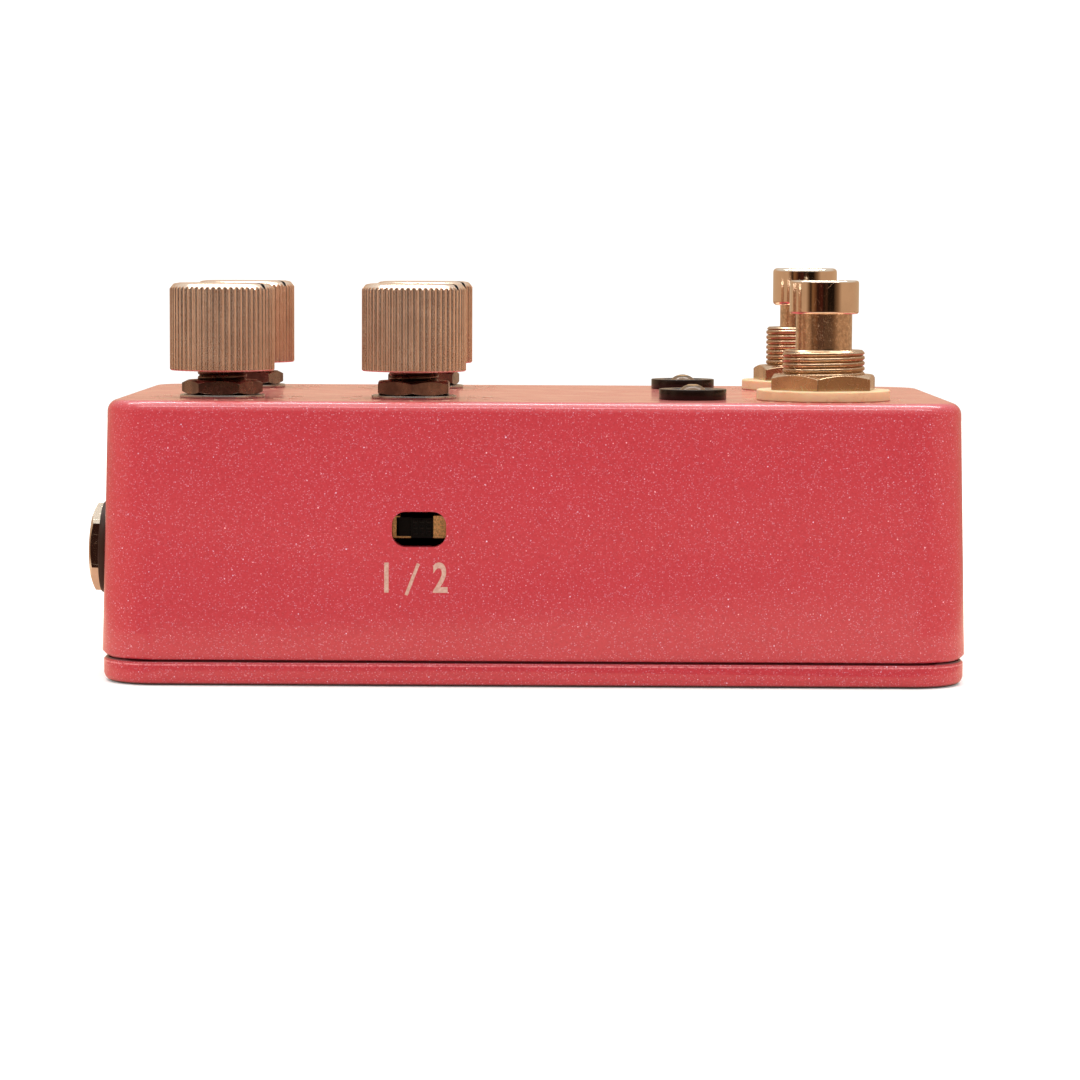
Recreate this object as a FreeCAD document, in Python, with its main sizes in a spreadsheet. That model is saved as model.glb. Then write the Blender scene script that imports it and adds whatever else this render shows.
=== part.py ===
import FreeCAD, Part
import math
import os
import Sketcher

# A delay pedal: a drafted die-cast case with a screwed lid, four fluted knobs on their pots,
# two stomp switches, two indicator lamps, a recessed slide switch, jacks and the boards inside.
# X runs along the case towards the stomp switches, Y across it, Z up from the underside of the lid.

Vector = FreeCAD.Vector
os.makedirs("parts", exist_ok=True)
document = FreeCAD.newDocument("delay_pedal")

# Driving dimensions in millimetres and degrees
SIZES = {
    "case_length": 121.9,
    "case_width": 66.2,
    "case_height": 39.75,
    "case_wall": 2.2,
    "case_corner": 8.0,
    "case_draft": 1.5,
    "case_top_round": 1.7,
    "case_foot_bevel": 0.8,
    "boss_inset": 6.2,
    "boss_radius": 4.0,
    "lid_height": 3.5,
    "lid_margin": 0.2,
    "lid_plate": 2.2,
    "lid_foot_round": 1.3,
    "lid_seam_bevel": 0.4,
    "lip_height": 1.8,
    "lip_thickness": 1.6,
    "lip_clearance": 0.2,
    "screw_radius": 1.7,
    "screw_length": 12.0,
    "screw_head_radius": 3.2,
    "screw_head_height": 1.6,
    "screw_sink": 0.15,
    "screw_clearance": 0.05,
    "column_y": 19.05,
    "back_knob_x": -44.5,
    "front_knob_x": -17.2,
    "lamp_x": 22.5,
    "stomp_x": 41.1,
    "knob_radius": 7.435,
    "knob_height": 12.43,
    "knob_lift": 3.85,
    "knob_bevel_height": 0.88,
    "knob_bevel_width": 1.4,
    "knob_edge_height": 0.62,
    "knob_edge_width": 0.47,
    "knob_recess_radius": 6.0,
    "knob_recess_depth": 2.0,
    "flute_count": 56,
    "flute_depth": 0.25,
    "flute_width": 0.56,
    "pointer_angle": -30.0,
    "pointer_width": 0.5,
    "pointer_depth": 0.25,
    "pointer_length": 3.2,
    "shaft_radius": 3.0,
    "shaft_clearance": 0.06,
    "shaft_flat": 1.5,
    "shaft_engagement": 9.8,
    "shaft_depth": 4.4,
    "shaft_end_gap": 0.2,
    "grub_radius": 1.45,
    "grub_length": 4.6,
    "grub_clearance": 0.05,
    "grub_height": 5.4,
    "grub_socket": 0.75,
    "pot_radius": 8.0,
    "pot_height": 8.4,
    "pot_stand": 2.25,
    "pot_bushing_radius": 3.5,
    "pot_bushing_length": 7.0,
    "pot_nut_flats": 10.0,
    "pot_nut_height": 2.0,
    "pot_washer_radius": 6.05,
    "pot_washer_height": 0.5,
    "pot_terminal_reach": 11.2,
    "pot_terminal_height": 1.6,
    "pot_terminal_margin": 1.3,
    "pin_pitch": 5.0,
    "pin_width": 1.0,
    "pin_thickness": 0.6,
    "pin_shoulder": 0.4,
    "pin_tail": 1.2,
    "pin_clearance": 0.15,
    "panel_clearance": 0.15,
    "nut_clearance": 0.05,
    "lamp_radius": 2.5,
    "lamp_flange_radius": 2.9,
    "lamp_flange_height": 1.0,
    "lamp_rise": 2.45,
    "lamp_leg_side": 0.5,
    "lamp_leg_offset": 1.27,
    "bezel_radius": 4.8,
    "bezel_height": 1.35,
    "bezel_bevel": 0.27,
    "bezel_sleeve_radius": 3.85,
    "bezel_sleeve_depth": 5.0,
    "bezel_clearance": 0.05,
    "stomp_bushing_radius": 5.85,
    "stomp_bushing_lead": 0.4,
    "stomp_washer_radius": 9.5,
    "stomp_washer_height": 1.5,
    "stomp_nut_flats": 14.0,
    "stomp_nut_height": 2.2,
    "stomp_yoke": 1.2,
    "stomp_collar": 0.9,
    "stomp_collar_height": 2.4,
    "stomp_collar_gap": 0.2,
    "stomp_clearance": 0.06,
    "spring_wall": 0.8,
    "tap_bushing_rise": 7.15,
    "tap_cap_rise": 12.25,
    "tap_cap_radius": 4.91,
    "tap_cap_height": 4.74,
    "tap_cap_bevel": 0.35,
    "tap_stem_radius": 4.0,
    "tap_travel": 3.0,
    "tap_base_side": 15.0,
    "tap_base_height": 11.0,
    "bypass_bushing_rise": 9.55,
    "bypass_cap_rise": 12.87,
    "bypass_cap_radius": 4.87,
    "bypass_cap_height": 5.63,
    "bypass_cap_bevel": 0.6,
    "bypass_stem_radius": 3.75,
    "bypass_travel": 2.5,
    "bypass_base_side": 17.3,
    "bypass_base_height": 12.8,
    "board_thickness": 1.6,
    "board_back_x": -49.0,
    "board_front_x": 28.5,
    "board_half_width": 28.5,
    "stomp_board_top": 20.9,
    "stomp_board_back_x": 31.8,
    "stomp_board_front_x": 50.2,
    "stomp_board_half_width": 21.5,
    "header_width": 5.0,
    "header_length": 20.0,
    "header_height": 5.5,
    "header_x": 25.0,
    "stomp_header_x": 36.0,
    "ribbon_width": 16.0,
    "ribbon_thickness": 0.9,
    "ribbon_drop": 1.8,
    "slot_x": -15.93,
    "slot_z": 22.05,
    "slot_length": 7.55,
    "slot_height": 4.92,
    "slot_round": 1.9,
    "slider_x": -16.6,
    "slider_z": 22.2,
    "slider_length": 3.05,
    "slider_height": 2.6,
    "slider_travel": 2.0,
    "slider_play": 0.05,
    "slider_rise": 0.4,
    "slider_flange": 0.9,
    "slide_frame_length": 9.0,
    "slide_frame_height": 3.1,
    "slide_frame_depth": 3.6,
    "slide_frame_wall": 0.2,
    "slide_frame_gap": 0.5,
    "slide_lug": 1.2,
    "slide_pin_pitch": 2.5,
    "slide_pin_reach": 1.0,
    "jack_y": 15.9,
    "jack_z": 18.0,
    "jack_bore_radius": 3.22,
    "jack_bushing_radius": 4.4,
    "jack_washer_radius": 6.6,
    "jack_washer_height": 1.4,
    "jack_washer_bevel": 0.3,
    "jack_nut_flats": 10.9,
    "jack_nut_height": 1.5,
    "jack_bushing_end": 0.1,
    "jack_body_width": 13.6,
    "jack_body_height": 13.6,
    "jack_body_length": 25.8,
    "jack_rear_wall": 1.2,
    "contact_width": 3.4,
    "contact_thickness": 0.4,
    "contact_offset": 0.13,
    "contact_length": 8.0,
    "tip_contact_reach": 25.0,
    "sleeve_contact_reach": 14.2,
    "dc_hole_radius": 5.0,
    "dc_width": 9.0,
    "dc_length": 14.0,
    "dc_gap": 0.1,
    "dc_bore_radius": 3.2,
    "dc_bore_depth": 9.5,
    "dc_pin_radius": 1.0,
    "dc_pin_length": 8.7,
    "delay_chip_length": 12.0,
    "delay_chip_width": 17.9,
    "delay_chip_height": 2.4,
    "amplifier_length": 3.9,
    "amplifier_width": 4.9,
    "amplifier_height": 1.6,
    "film_length": 2.5,
    "film_width": 7.2,
    "film_height": 6.5,
    "film_pitch": 5.0,
    "can_radius": 3.15,
    "can_height": 7.0,
    "can_pitch": 8.0,
    "component_x": 4.0,
    "component_y": 17.0,
    "regulator_length": 6.5,
    "regulator_width": 6.1,
    "regulator_height": 2.3,
    "cut_margin": 1.0,
}

sheet = document.addObject("Spreadsheet::Sheet", "sizes")
for row, (alias, size) in enumerate(SIZES.items(), 1):
    sheet.set("A%d" % row, alias)
    sheet.set("B%d" % row, str(size))
    sheet.setAlias("B%d" % row, alias)
document.recompute()

# Heights and places that several pieces share, worked out from the driving dimensions
TOP = "sizes.case_height"
CEILING = "(sizes.case_height - sizes.case_wall)"
BOARD_TOP = "(%s - sizes.pot_height - sizes.pot_stand)" % CEILING
BOARD_BOTTOM = "(%s - sizes.board_thickness)" % BOARD_TOP
STOMP_BOARD_BOTTOM = "(sizes.stomp_board_top - sizes.board_thickness)"
KNOB_BOTTOM = "(sizes.case_height + sizes.knob_lift)"
JACK_X = "(-sizes.case_length / 2 + (sizes.jack_z - sizes.lid_height) * tan(sizes.case_draft))"
COLUMNS = {"left": "-sizes.column_y", "right": "sizes.column_y"}
JACK_ROWS = {"left": "-sizes.jack_y", "right": "sizes.jack_y"}
KNOBS = {
    "time": ("sizes.back_knob_x", "left", 0),
    "repeats": ("sizes.back_knob_x", "right", 12),
    "mix": ("sizes.front_knob_x", "left", 30),
    "tone": ("sizes.front_knob_x", "right", 21),
}
STOMPS = {"tap": ("left", 24), "bypass": ("right", 40)}
JACKS = {"output": ("left", 30), "input": ("right", 41)}
LAMPS = {"tempo": "left", "status": "right"}

pieces = []


def number(expression):
    """The value of an expression on the sheet, in millimetres or degrees."""
    return float(sheet.evalExpression(expression))


def place(item, x="0", y="0", z="0", turn=None):
    """Ties the place of an object, and its turn about its own axis, to the sheet."""
    for name, expression in (("x", x), ("y", y), ("z", z)):
        item.setExpression("Placement.Base." + name, expression)
    if turn is not None:
        item.setExpression("Placement.Rotation.Angle", str(turn))
    return item


def keep(item, label):
    """Names a finished sub-part, so that it is checked and written at the end."""
    item.Label = label
    pieces.append(item)
    return item


def new_body(label):
    """An empty PartDesign body that becomes one sub-part."""
    return keep(document.addObject("PartDesign::Body", label), label)


def pin_point(sketch, geometry, point, x, y):
    """Holds a sketch point at x, y by constraints that read the sheet."""
    for kind, axis, expression in (("DistanceX", -2, x), ("DistanceY", -1, y)):
        if expression == "0":
            sketch.addConstraint(Sketcher.Constraint("PointOnObject", geometry, point, axis))
            continue
        size = number(expression)
        index = sketch.addConstraint(Sketcher.Constraint(kind, -1, 1, geometry, point, size))
        name = "%s%d_%d" % (kind, geometry, point)
        sketch.renameConstraint(index, name)
        sketch.setExpression("Constraints." + name, expression)


def add_polygon(sketch, corners):
    """A closed outline through corners, each a pair of expressions."""
    first = sketch.GeometryCount
    spots = [Vector(number(x), number(y), 0) for x, y in corners]
    for index, spot in enumerate(spots):
        sketch.addGeometry(Part.LineSegment(spot, spots[(index + 1) % len(spots)]))
    for index, (x, y) in enumerate(corners):
        following = first + (index + 1) % len(corners)
        sketch.addConstraint(Sketcher.Constraint("Coincident", first + index, 2, following, 1))
        pin_point(sketch, first + index, 1, x, y)


def add_circle(sketch, x, y, radius):
    """A circle whose centre and radius read the sheet."""
    middle = Vector(number(x), number(y), 0)
    circle = Part.Circle(middle, Vector(0, 0, 1), number(radius))
    geometry = sketch.addGeometry(circle)
    pin_point(sketch, geometry, 3, x, y)
    index = sketch.addConstraint(Sketcher.Constraint("Radius", geometry, number(radius)))
    sketch.renameConstraint(index, "radius%d" % geometry)
    sketch.setExpression("Constraints.radius%d" % geometry, radius)


def add_round_rectangle(sketch, x, y, length, width, radius):
    """A rectangle with round corners: each side runs straight into the arc that follows it."""
    first = sketch.GeometryCount
    half_x, half_y, bend = number(length) / 2, number(width) / 2, number(radius)
    middle = Vector(number(x), number(y), 0)
    for quarter, (a, b) in enumerate(((1, -1), (1, 1), (-1, 1), (-1, -1))):
        centre = middle + Vector(a * (half_x - bend), b * (half_y - bend), 0)
        circle = Part.Circle(centre, Vector(0, 0, 1), bend)
        start = math.radians(quarter * 90 - 90)
        sketch.addGeometry(Part.ArcOfCircle(circle, start, start + math.radians(90)))
        index = sketch.addConstraint(Sketcher.Constraint("Radius", first + quarter, bend))
        sketch.renameConstraint(index, "radius%d" % (first + quarter))
        sketch.setExpression("Constraints.radius%d" % (first + quarter), radius)
    sides = (("Vertical", "DistanceX", "(%s) + (%s) / 2" % (x, length)),
             ("Horizontal", "DistanceY", "(%s) + (%s) / 2" % (y, width)),
             ("Vertical", "DistanceX", "(%s) - (%s) / 2" % (x, length)),
             ("Horizontal", "DistanceY", "(%s) - (%s) / 2" % (y, width)))
    for quarter, (level, kind, expression) in enumerate(sides):
        here, following = first + quarter, first + (quarter + 1) % 4
        geometry = sketch.Geometry
        side = Part.LineSegment(geometry[here].EndPoint, geometry[following].StartPoint)
        line = sketch.addGeometry(side)
        sketch.addConstraint(Sketcher.Constraint("Tangent", here, 2, line, 1))
        sketch.addConstraint(Sketcher.Constraint("Tangent", line, 2, following, 1))
        sketch.addConstraint(Sketcher.Constraint(level, line))
        index = sketch.addConstraint(Sketcher.Constraint(kind, -1, 1, line, 1, number(expression)))
        sketch.renameConstraint(index, "side%d" % line)
        sketch.setExpression("Constraints.side%d" % line, expression)


def rectangle(x, y, length, width):
    """Corners of a rectangle centred on x, y."""
    left = "(%s) - (%s) / 2" % (x, length)
    right = "(%s) + (%s) / 2" % (x, length)
    low = "(%s) - (%s) / 2" % (y, width)
    high = "(%s) + (%s) / 2" % (y, width)
    return [(left, low), (right, low), (right, high), (left, high)]


def sketch_on(body, role, outlines, offset="0"):
    """A sketch on one of the body's planes, of polygons, circles and round rectangles."""
    sketch = body.newObject("Sketcher::SketchObject", "sketch")
    support = [plane for plane in body.Origin.OriginFeatures if plane.Role == role][0]
    sketch.AttachmentSupport = [(support, "")]
    sketch.MapMode = "FlatFace"
    sketch.setExpression("AttachmentOffset.Base.z", offset)
    for outline in outlines:
        if isinstance(outline, tuple) and len(outline) == 3:
            add_circle(sketch, *outline)
        elif isinstance(outline, tuple):
            add_round_rectangle(sketch, *outline)
        else:
            add_polygon(sketch, outline)
    return sketch


def pad(body, sketch, length, reverse=False):
    """Adds the sketch's outlines as a straight block."""
    block = body.newObject("PartDesign::Pad", "pad")
    block.Profile = sketch
    block.Reversed = reverse
    block.setExpression("Length", length)
    document.recompute()
    return block


def pocket(body, sketch, length, reverse=False, midplane=False):
    """Cuts the sketch's outlines out, and stops if the cut misses the solid."""
    before = body.Shape.Volume
    cut = body.newObject("PartDesign::Pocket", "pocket")
    cut.Profile = sketch
    cut.Reversed = reverse
    cut.Midplane = midplane
    cut.setExpression("Length", length)
    document.recompute()
    if body.Shape.Volume >= before:
        raise ValueError("a pocket of %s cuts nothing" % body.Label)
    return cut


def turned(body, corners):
    """Turns a half section, given as radius and height pairs, about the body's Z axis."""
    sketch = sketch_on(body, "XZ_Plane", [corners])
    turning = body.newObject("PartDesign::Revolution", "turning")
    turning.Profile = sketch
    turning.ReferenceAxis = (sketch, ["V_Axis"])
    turning.Angle = 360.0
    document.recompute()
    return turning


def edge_names(feature, wanted):
    """Names of the edges of a feature that a test picks out."""
    return ["Edge%d" % (index + 1) for index, edge in enumerate(feature.Shape.Edges) if wanted(edge)]


def round_edges(body, feature, wanted, radius):
    """Rounds the picked edges of the last feature."""
    rounding = body.newObject("PartDesign::Fillet", "rounding")
    rounding.Base = (feature, edge_names(feature, wanted))
    rounding.setExpression("Radius", radius)
    document.recompute()
    return rounding


def bevel_edges(body, feature, wanted, size):
    """Bevels the picked edges of the last feature."""
    bevel = body.newObject("PartDesign::Chamfer", "bevel")
    bevel.Base = (feature, edge_names(feature, wanted))
    bevel.setExpression("Size", size)
    document.recompute()
    return bevel


def lies_at(height):
    """A test for edges that lie flat at one height."""
    level = number(height)
    return lambda edge: abs(edge.BoundBox.ZMin - level) < 1e-4 and abs(edge.BoundBox.ZMax - level) < 1e-4


def block(x, y, z, length, width, height):
    """A plain box centred on x and y, standing on z."""
    item = document.addObject("Part::Box", "block")
    for name, expression in (("Length", length), ("Width", width), ("Height", height)):
        item.setExpression(name, expression)
    return place(item, "(%s) - (%s) / 2" % (x, length), "(%s) - (%s) / 2" % (y, width), z)


def rod(x, y, z, radius, height):
    """A plain upright cylinder standing on z."""
    item = document.addObject("Part::Cylinder", "rod")
    item.setExpression("Radius", radius)
    item.setExpression("Height", height)
    return place(item, x, y, z)


def join(tools):
    """One solid out of several that meet."""
    item = document.addObject("Part::MultiFuse", "join")
    item.Shapes = tools
    return item


def cut_away(base, tool):
    """The base with the tool taken out."""
    item = document.addObject("Part::Cut", "cut")
    item.Base = base
    item.Tool = tool
    return item


def group(items, label):
    """Like pieces that share a node, each a solid of its own."""
    item = document.addObject("Part::Compound", label)
    item.Links = items
    return keep(item, label)


def hex_nut(flats, height, hole):
    """A plain hexagon nut on its own origin."""
    prism = document.addObject("Part::Prism", "hexagon")
    prism.Polygon = 6
    prism.setExpression("Circumradius", "(%s) / 2 / cos(30)" % flats)
    prism.setExpression("Height", height)
    return cut_away(prism, rod("0", "0", "0", hole, height))


def board_pins(body, spots, start, board_face, downwards=True):
    """Flat pins with a shoulder that seats on the board and a tail that goes through it."""
    wide = "(sizes.pin_width + 2 * sizes.pin_shoulder)"
    shoulders = [rectangle(x, y, wide, "sizes.pin_thickness") for x, y in spots]
    tails = [rectangle(x, y, "sizes.pin_width", "sizes.pin_thickness") for x, y in spots]
    reach = "(%s) - (%s)" % ((start, board_face) if downwards else (board_face, start))
    pad(body, sketch_on(body, "XY_Plane", shoulders, start), reach, reverse=downwards)
    through = "%s + sizes.board_thickness + sizes.pin_tail" % reach
    pad(body, sketch_on(body, "XY_Plane", tails, start), through, reverse=downwards)


def pin_holes(spots):
    """Outlines of the holes that board pins go through."""
    long_way = "sizes.pin_width + 2 * sizes.pin_clearance"
    short_way = "sizes.pin_thickness + 2 * sizes.pin_clearance"
    return [rectangle(x, y, long_way, short_way) for x, y in spots]


def corner_spots():
    """The four corners of the case where lid screws go."""
    x = "(sizes.case_length / 2 - sizes.boss_inset)"
    y = "(sizes.case_width / 2 - sizes.boss_inset)"
    return [(a + x, b + y) for a in ("", "-") for b in ("", "-")]


def floor_name(feature, height):
    """The name of the flat face that lies at a height."""
    level = number(height)
    for index, face in enumerate(feature.Shape.Faces):
        if face.BoundBox.ZLength < 1e-4 and abs(face.BoundBox.ZMin - level) < 1e-4:
            return "Face%d" % (index + 1)
    raise ValueError("no face at %s" % height)


def make_case():
    """The die-cast case: one open shell with screw bosses and all the panel holes."""
    body = new_body("enclosure_body")
    rise = "sizes.case_height - sizes.lid_height"
    outline = ("0", "0", "sizes.case_length", "sizes.case_width", "sizes.case_corner")
    raw = pad(body, sketch_on(body, "XY_Plane", [outline], "sizes.lid_height"), rise)
    sloped = body.newObject("PartDesign::Draft", "draft")
    walls = ["Face%d" % (index + 1) for index, face in enumerate(raw.Shape.Faces)
             if face.BoundBox.ZLength > 1]
    sloped.Base = (raw, walls)
    sloped.NeutralPlane = (raw, [floor_name(raw, "sizes.lid_height")])
    sloped.setExpression("Angle", "sizes.case_draft")
    document.recompute()
    shell = body.newObject("PartDesign::Thickness", "shell")
    shell.Base = (sloped, [floor_name(sloped, "sizes.lid_height")])
    shell.Reversed = True
    shell.Join = 1
    shell.setExpression("Value", "sizes.case_wall")
    document.recompute()
    top = round_edges(body, shell, lies_at(TOP), "sizes.case_top_round")
    level = lies_at("sizes.lid_height")
    inner_x = number("sizes.case_length / 2 - sizes.case_wall")
    inner_y = number("sizes.case_width / 2 - sizes.case_wall")
    inner_corner = number("sizes.case_corner - sizes.case_wall")

    def outer_foot(edge):
        spot = edge.valueAt((edge.FirstParameter + edge.LastParameter) / 2)
        over_x = max(abs(spot.x) - (inner_x - inner_corner), 0)
        over_y = max(abs(spot.y) - (inner_y - inner_corner), 0)
        return level(edge) and math.hypot(over_x, over_y) > inner_corner + 0.1

    bevel_edges(body, top, outer_foot, "sizes.case_foot_bevel")
    bosses = [(x, y, "sizes.boss_radius") for x, y in corner_spots()]
    boss_height = "%s - sizes.lid_height" % CEILING
    pad(body, sketch_on(body, "XY_Plane", bosses, "sizes.lid_height"), boss_height)
    thread = "sizes.screw_radius + sizes.screw_clearance"
    holes = [(x, y, thread) for x, y in corner_spots()]
    pocket(body, sketch_on(body, "XY_Plane", holes, "sizes.lid_height"), "sizes.screw_length", reverse=True)
    panel = []
    for x, column, _ in KNOBS.values():
        panel.append((x, COLUMNS[column], "sizes.pot_bushing_radius + sizes.panel_clearance"))
    for column in COLUMNS.values():
        panel.append(("sizes.lamp_x", column, "sizes.bezel_sleeve_radius + sizes.panel_clearance"))
        panel.append(("sizes.stomp_x", column, "sizes.stomp_bushing_radius + sizes.panel_clearance"))
    pocket(body, sketch_on(body, "XY_Plane", panel, TOP), "sizes.case_wall * 2")
    jacks = [(row, "sizes.jack_z", "sizes.jack_bushing_radius + sizes.panel_clearance")
             for row in JACK_ROWS.values()]
    jacks.append(("0", "sizes.jack_z", "sizes.dc_hole_radius"))
    end_plane = "-sizes.case_length / 2 - sizes.cut_margin"
    through = "sizes.case_wall * 2 + sizes.cut_margin"
    pocket(body, sketch_on(body, "YZ_Plane", jacks, end_plane), through, reverse=True)
    opening = ("sizes.slot_x", "sizes.slot_z", "sizes.slot_length", "sizes.slot_height", "sizes.slot_round")
    near_plane = "sizes.case_width / 2 + sizes.cut_margin"
    pocket(body, sketch_on(body, "XZ_Plane", [opening], near_plane), through)


def make_lid():
    """The lid: a plate with a lip that drops inside the case walls."""
    body = new_body("bottom_lid")
    margin = "2 * sizes.lid_margin"
    gap = "2 * (sizes.case_wall + sizes.lip_clearance)"
    rim = "(%s + 2 * sizes.lip_thickness)" % gap
    outlines = [("0", "0", "sizes.case_length - %s" % inset, "sizes.case_width - %s" % inset,
                 "sizes.case_corner - %s / 2" % inset) for inset in (margin, gap, rim)]
    plate = pad(body, sketch_on(body, "XY_Plane", [outlines[0]]), "sizes.lid_height")
    foot = round_edges(body, plate, lies_at("0"), "sizes.lid_foot_round")
    bevel_edges(body, foot, lies_at("sizes.lid_height"), "sizes.lid_seam_bevel")
    pad(body, sketch_on(body, "XY_Plane", [outlines[1]], "sizes.lid_height"), "sizes.lip_height")
    depth = "sizes.lid_height + sizes.lip_height - sizes.lid_plate"
    top = "sizes.lid_height + sizes.lip_height"
    pocket(body, sketch_on(body, "XY_Plane", [outlines[2]], top), depth)
    notches = [(x, y, "sizes.boss_radius + sizes.lip_clearance") for x, y in corner_spots()]
    pocket(body, sketch_on(body, "XY_Plane", notches, top), "sizes.lip_height")
    pads = [(x, y, "sizes.boss_radius") for x, y in corner_spots()]
    pad_height = "sizes.lid_height - sizes.lid_plate"
    pad(body, sketch_on(body, "XY_Plane", pads, "sizes.lid_plate"), pad_height)
    shank = "sizes.screw_radius + 4 * sizes.screw_clearance"
    holes = [(x, y, shank) for x, y in corner_spots()]
    pocket(body, sketch_on(body, "XY_Plane", holes), "sizes.lid_height", reverse=True)
    for x, y in corner_spots():
        sink = body.newObject("PartDesign::SubtractiveCone", "countersink")
        sink.setExpression("Radius1", "sizes.screw_head_radius + 4 * sizes.screw_clearance")
        sink.setExpression("Radius2", shank)
        sink.setExpression("Height", "sizes.screw_sink + sizes.screw_head_height")
        place(sink, x, y)
    document.recompute()


def make_lid_screws():
    """Four countersunk screws, from the lid up into the bosses."""
    screws = []
    for x, y in corner_spots():
        screw = document.addObject("PartDesign::Body", "lid_screw")
        neck = "sizes.screw_head_height"
        end = "sizes.screw_length"
        turned(screw, [("0", "0"), ("sizes.screw_head_radius", "0"), ("sizes.screw_radius", neck),
                       ("sizes.screw_radius", end), ("0", end)])
        screws.append(place(screw, x, y, "sizes.screw_sink"))
    group(screws, "lid_screws")


def make_knob(name, x, y):
    """A turned metal knob: flutes all round, a bevelled crown, a pointer line and a blind bore."""
    body = new_body(name + "_knob")
    bore = "sizes.shaft_radius + sizes.shaft_clearance"
    depth = "sizes.shaft_engagement + sizes.shaft_clearance"
    shoulder = "sizes.knob_height - sizes.knob_bevel_height"
    turned(body, [
        ("0", depth),
        (bore, depth),
        (bore, "sizes.knob_recess_depth"),
        ("sizes.knob_recess_radius", "sizes.knob_recess_depth"),
        ("sizes.knob_recess_radius", "0"),
        ("sizes.knob_radius", "0"),
        ("sizes.knob_radius", shoulder),
        ("sizes.knob_radius - sizes.knob_edge_width", "%s + sizes.knob_edge_height" % shoulder),
        ("sizes.knob_radius - sizes.knob_bevel_width", "sizes.knob_height"),
        ("0", "sizes.knob_height"),
    ])
    valley = "sizes.knob_radius - sizes.flute_depth"
    flank = "sizes.flute_width"
    flute = [(valley, "0"), ("sizes.knob_radius + sizes.flute_depth", "-" + flank),
             ("sizes.knob_radius + sizes.flute_depth", flank)]
    cut = pocket(body, sketch_on(body, "XY_Plane", [flute]), "sizes.knob_height", reverse=True)
    ring = body.newObject("PartDesign::PolarPattern", "flutes")
    ring.Originals = [cut]
    ring.Axis = ([line for line in body.Origin.OriginFeatures if line.Role == "Z_Axis"][0], [""])
    ring.Angle = 360.0
    ring.setExpression("Occurrences", "sizes.flute_count")
    body.Tip = ring
    document.recompute()
    line = rectangle("sizes.knob_radius - sizes.pointer_length / 2", "0",
                     "sizes.pointer_length + sizes.cut_margin", "sizes.pointer_width")
    pocket(body, sketch_on(body, "XY_Plane", [line], "sizes.knob_height"), "sizes.pointer_depth")
    screw_hole = ("0", "sizes.grub_height", "sizes.grub_radius + sizes.grub_clearance")
    pocket(body, sketch_on(body, "YZ_Plane", [screw_hole]), "sizes.knob_radius + sizes.cut_margin")
    place(body, x, y, KNOB_BOTTOM, "sizes.pointer_angle")


def make_shaft(name, x, y):
    """The pot's shaft, with the flat that the grub screw bears on."""
    start = "%s - sizes.shaft_depth" % CEILING
    end = "%s + sizes.shaft_engagement" % KNOB_BOTTOM
    length = "%s - (%s)" % (end, start)
    flat_start = "%s + sizes.knob_recess_depth - (%s)" % (KNOB_BOTTOM, start)
    round_bar = rod("0", "0", "0", "sizes.shaft_radius", length)
    away = "-sizes.shaft_flat - sizes.shaft_radius"
    flat = block(away, "0", flat_start, "2 * sizes.shaft_radius", "2 * sizes.shaft_radius", length)
    shaft = keep(cut_away(round_bar, flat), name + "_shaft")
    place(shaft, x, y, start, "sizes.pointer_angle")


def make_grub_screw(name, x, y):
    """The screw behind the pointer that clamps the knob to the flat."""
    screw = rod("0", "0", "0", "sizes.grub_radius", "sizes.grub_length")
    key = document.addObject("Part::Prism", "key_socket")
    key.Polygon = 6
    key.setExpression("Circumradius", "sizes.grub_socket")
    key.setExpression("Height", "sizes.grub_length / 2")
    place(key, z="sizes.grub_length / 2")
    item = keep(cut_away(screw, key), name + "_grub_screw")
    outwards = FreeCAD.Rotation(Vector(0, 0, 1), number("sizes.pointer_angle"))
    item.Placement = FreeCAD.Placement(Vector(0, 0, 0), outwards * FreeCAD.Rotation(Vector(0, 1, 0), -90))
    reach = "sizes.shaft_flat"
    place(item, "%s - %s * cos(sizes.pointer_angle)" % (x, reach),
          "%s - %s * sin(sizes.pointer_angle)" % (y, reach), "%s + sizes.grub_height" % KNOB_BOTTOM)


def pot_pin_spots(side):
    """Board places of a pot's three pins, on the side that faces the middle of the case."""
    y = "%s(sizes.pot_terminal_reach - sizes.pin_thickness)" % side
    return [("-sizes.pin_pitch", y), ("0", y), ("sizes.pin_pitch", y)]


def make_pot(name, x, column):
    """A rotary pot: round can, threaded bushing and a terminal strip with three board pins."""
    body = new_body(name + "_pot")
    bore = "sizes.shaft_radius + sizes.shaft_clearance"
    bottom = "sizes.pot_height - sizes.shaft_depth - sizes.shaft_end_gap"
    top = "sizes.pot_height + sizes.pot_bushing_length"
    turned(body, [("0", "0"), ("sizes.pot_radius", "0"), ("sizes.pot_radius", "sizes.pot_height"),
                  ("sizes.pot_bushing_radius", "sizes.pot_height"), ("sizes.pot_bushing_radius", top),
                  (bore, top), (bore, bottom), ("0", bottom)])
    side = "" if column == "left" else "-"
    strip = rectangle("0", "%ssizes.pot_terminal_reach / 2" % side,
                      "2 * (sizes.pin_pitch + sizes.pot_terminal_margin)", "sizes.pot_terminal_reach")
    pad(body, sketch_on(body, "XY_Plane", [strip]), "sizes.pot_terminal_height")
    board_pins(body, pot_pin_spots(side), "0", "-sizes.pot_stand")
    place(body, x, COLUMNS[column], "%s - sizes.pot_height" % CEILING)


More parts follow.
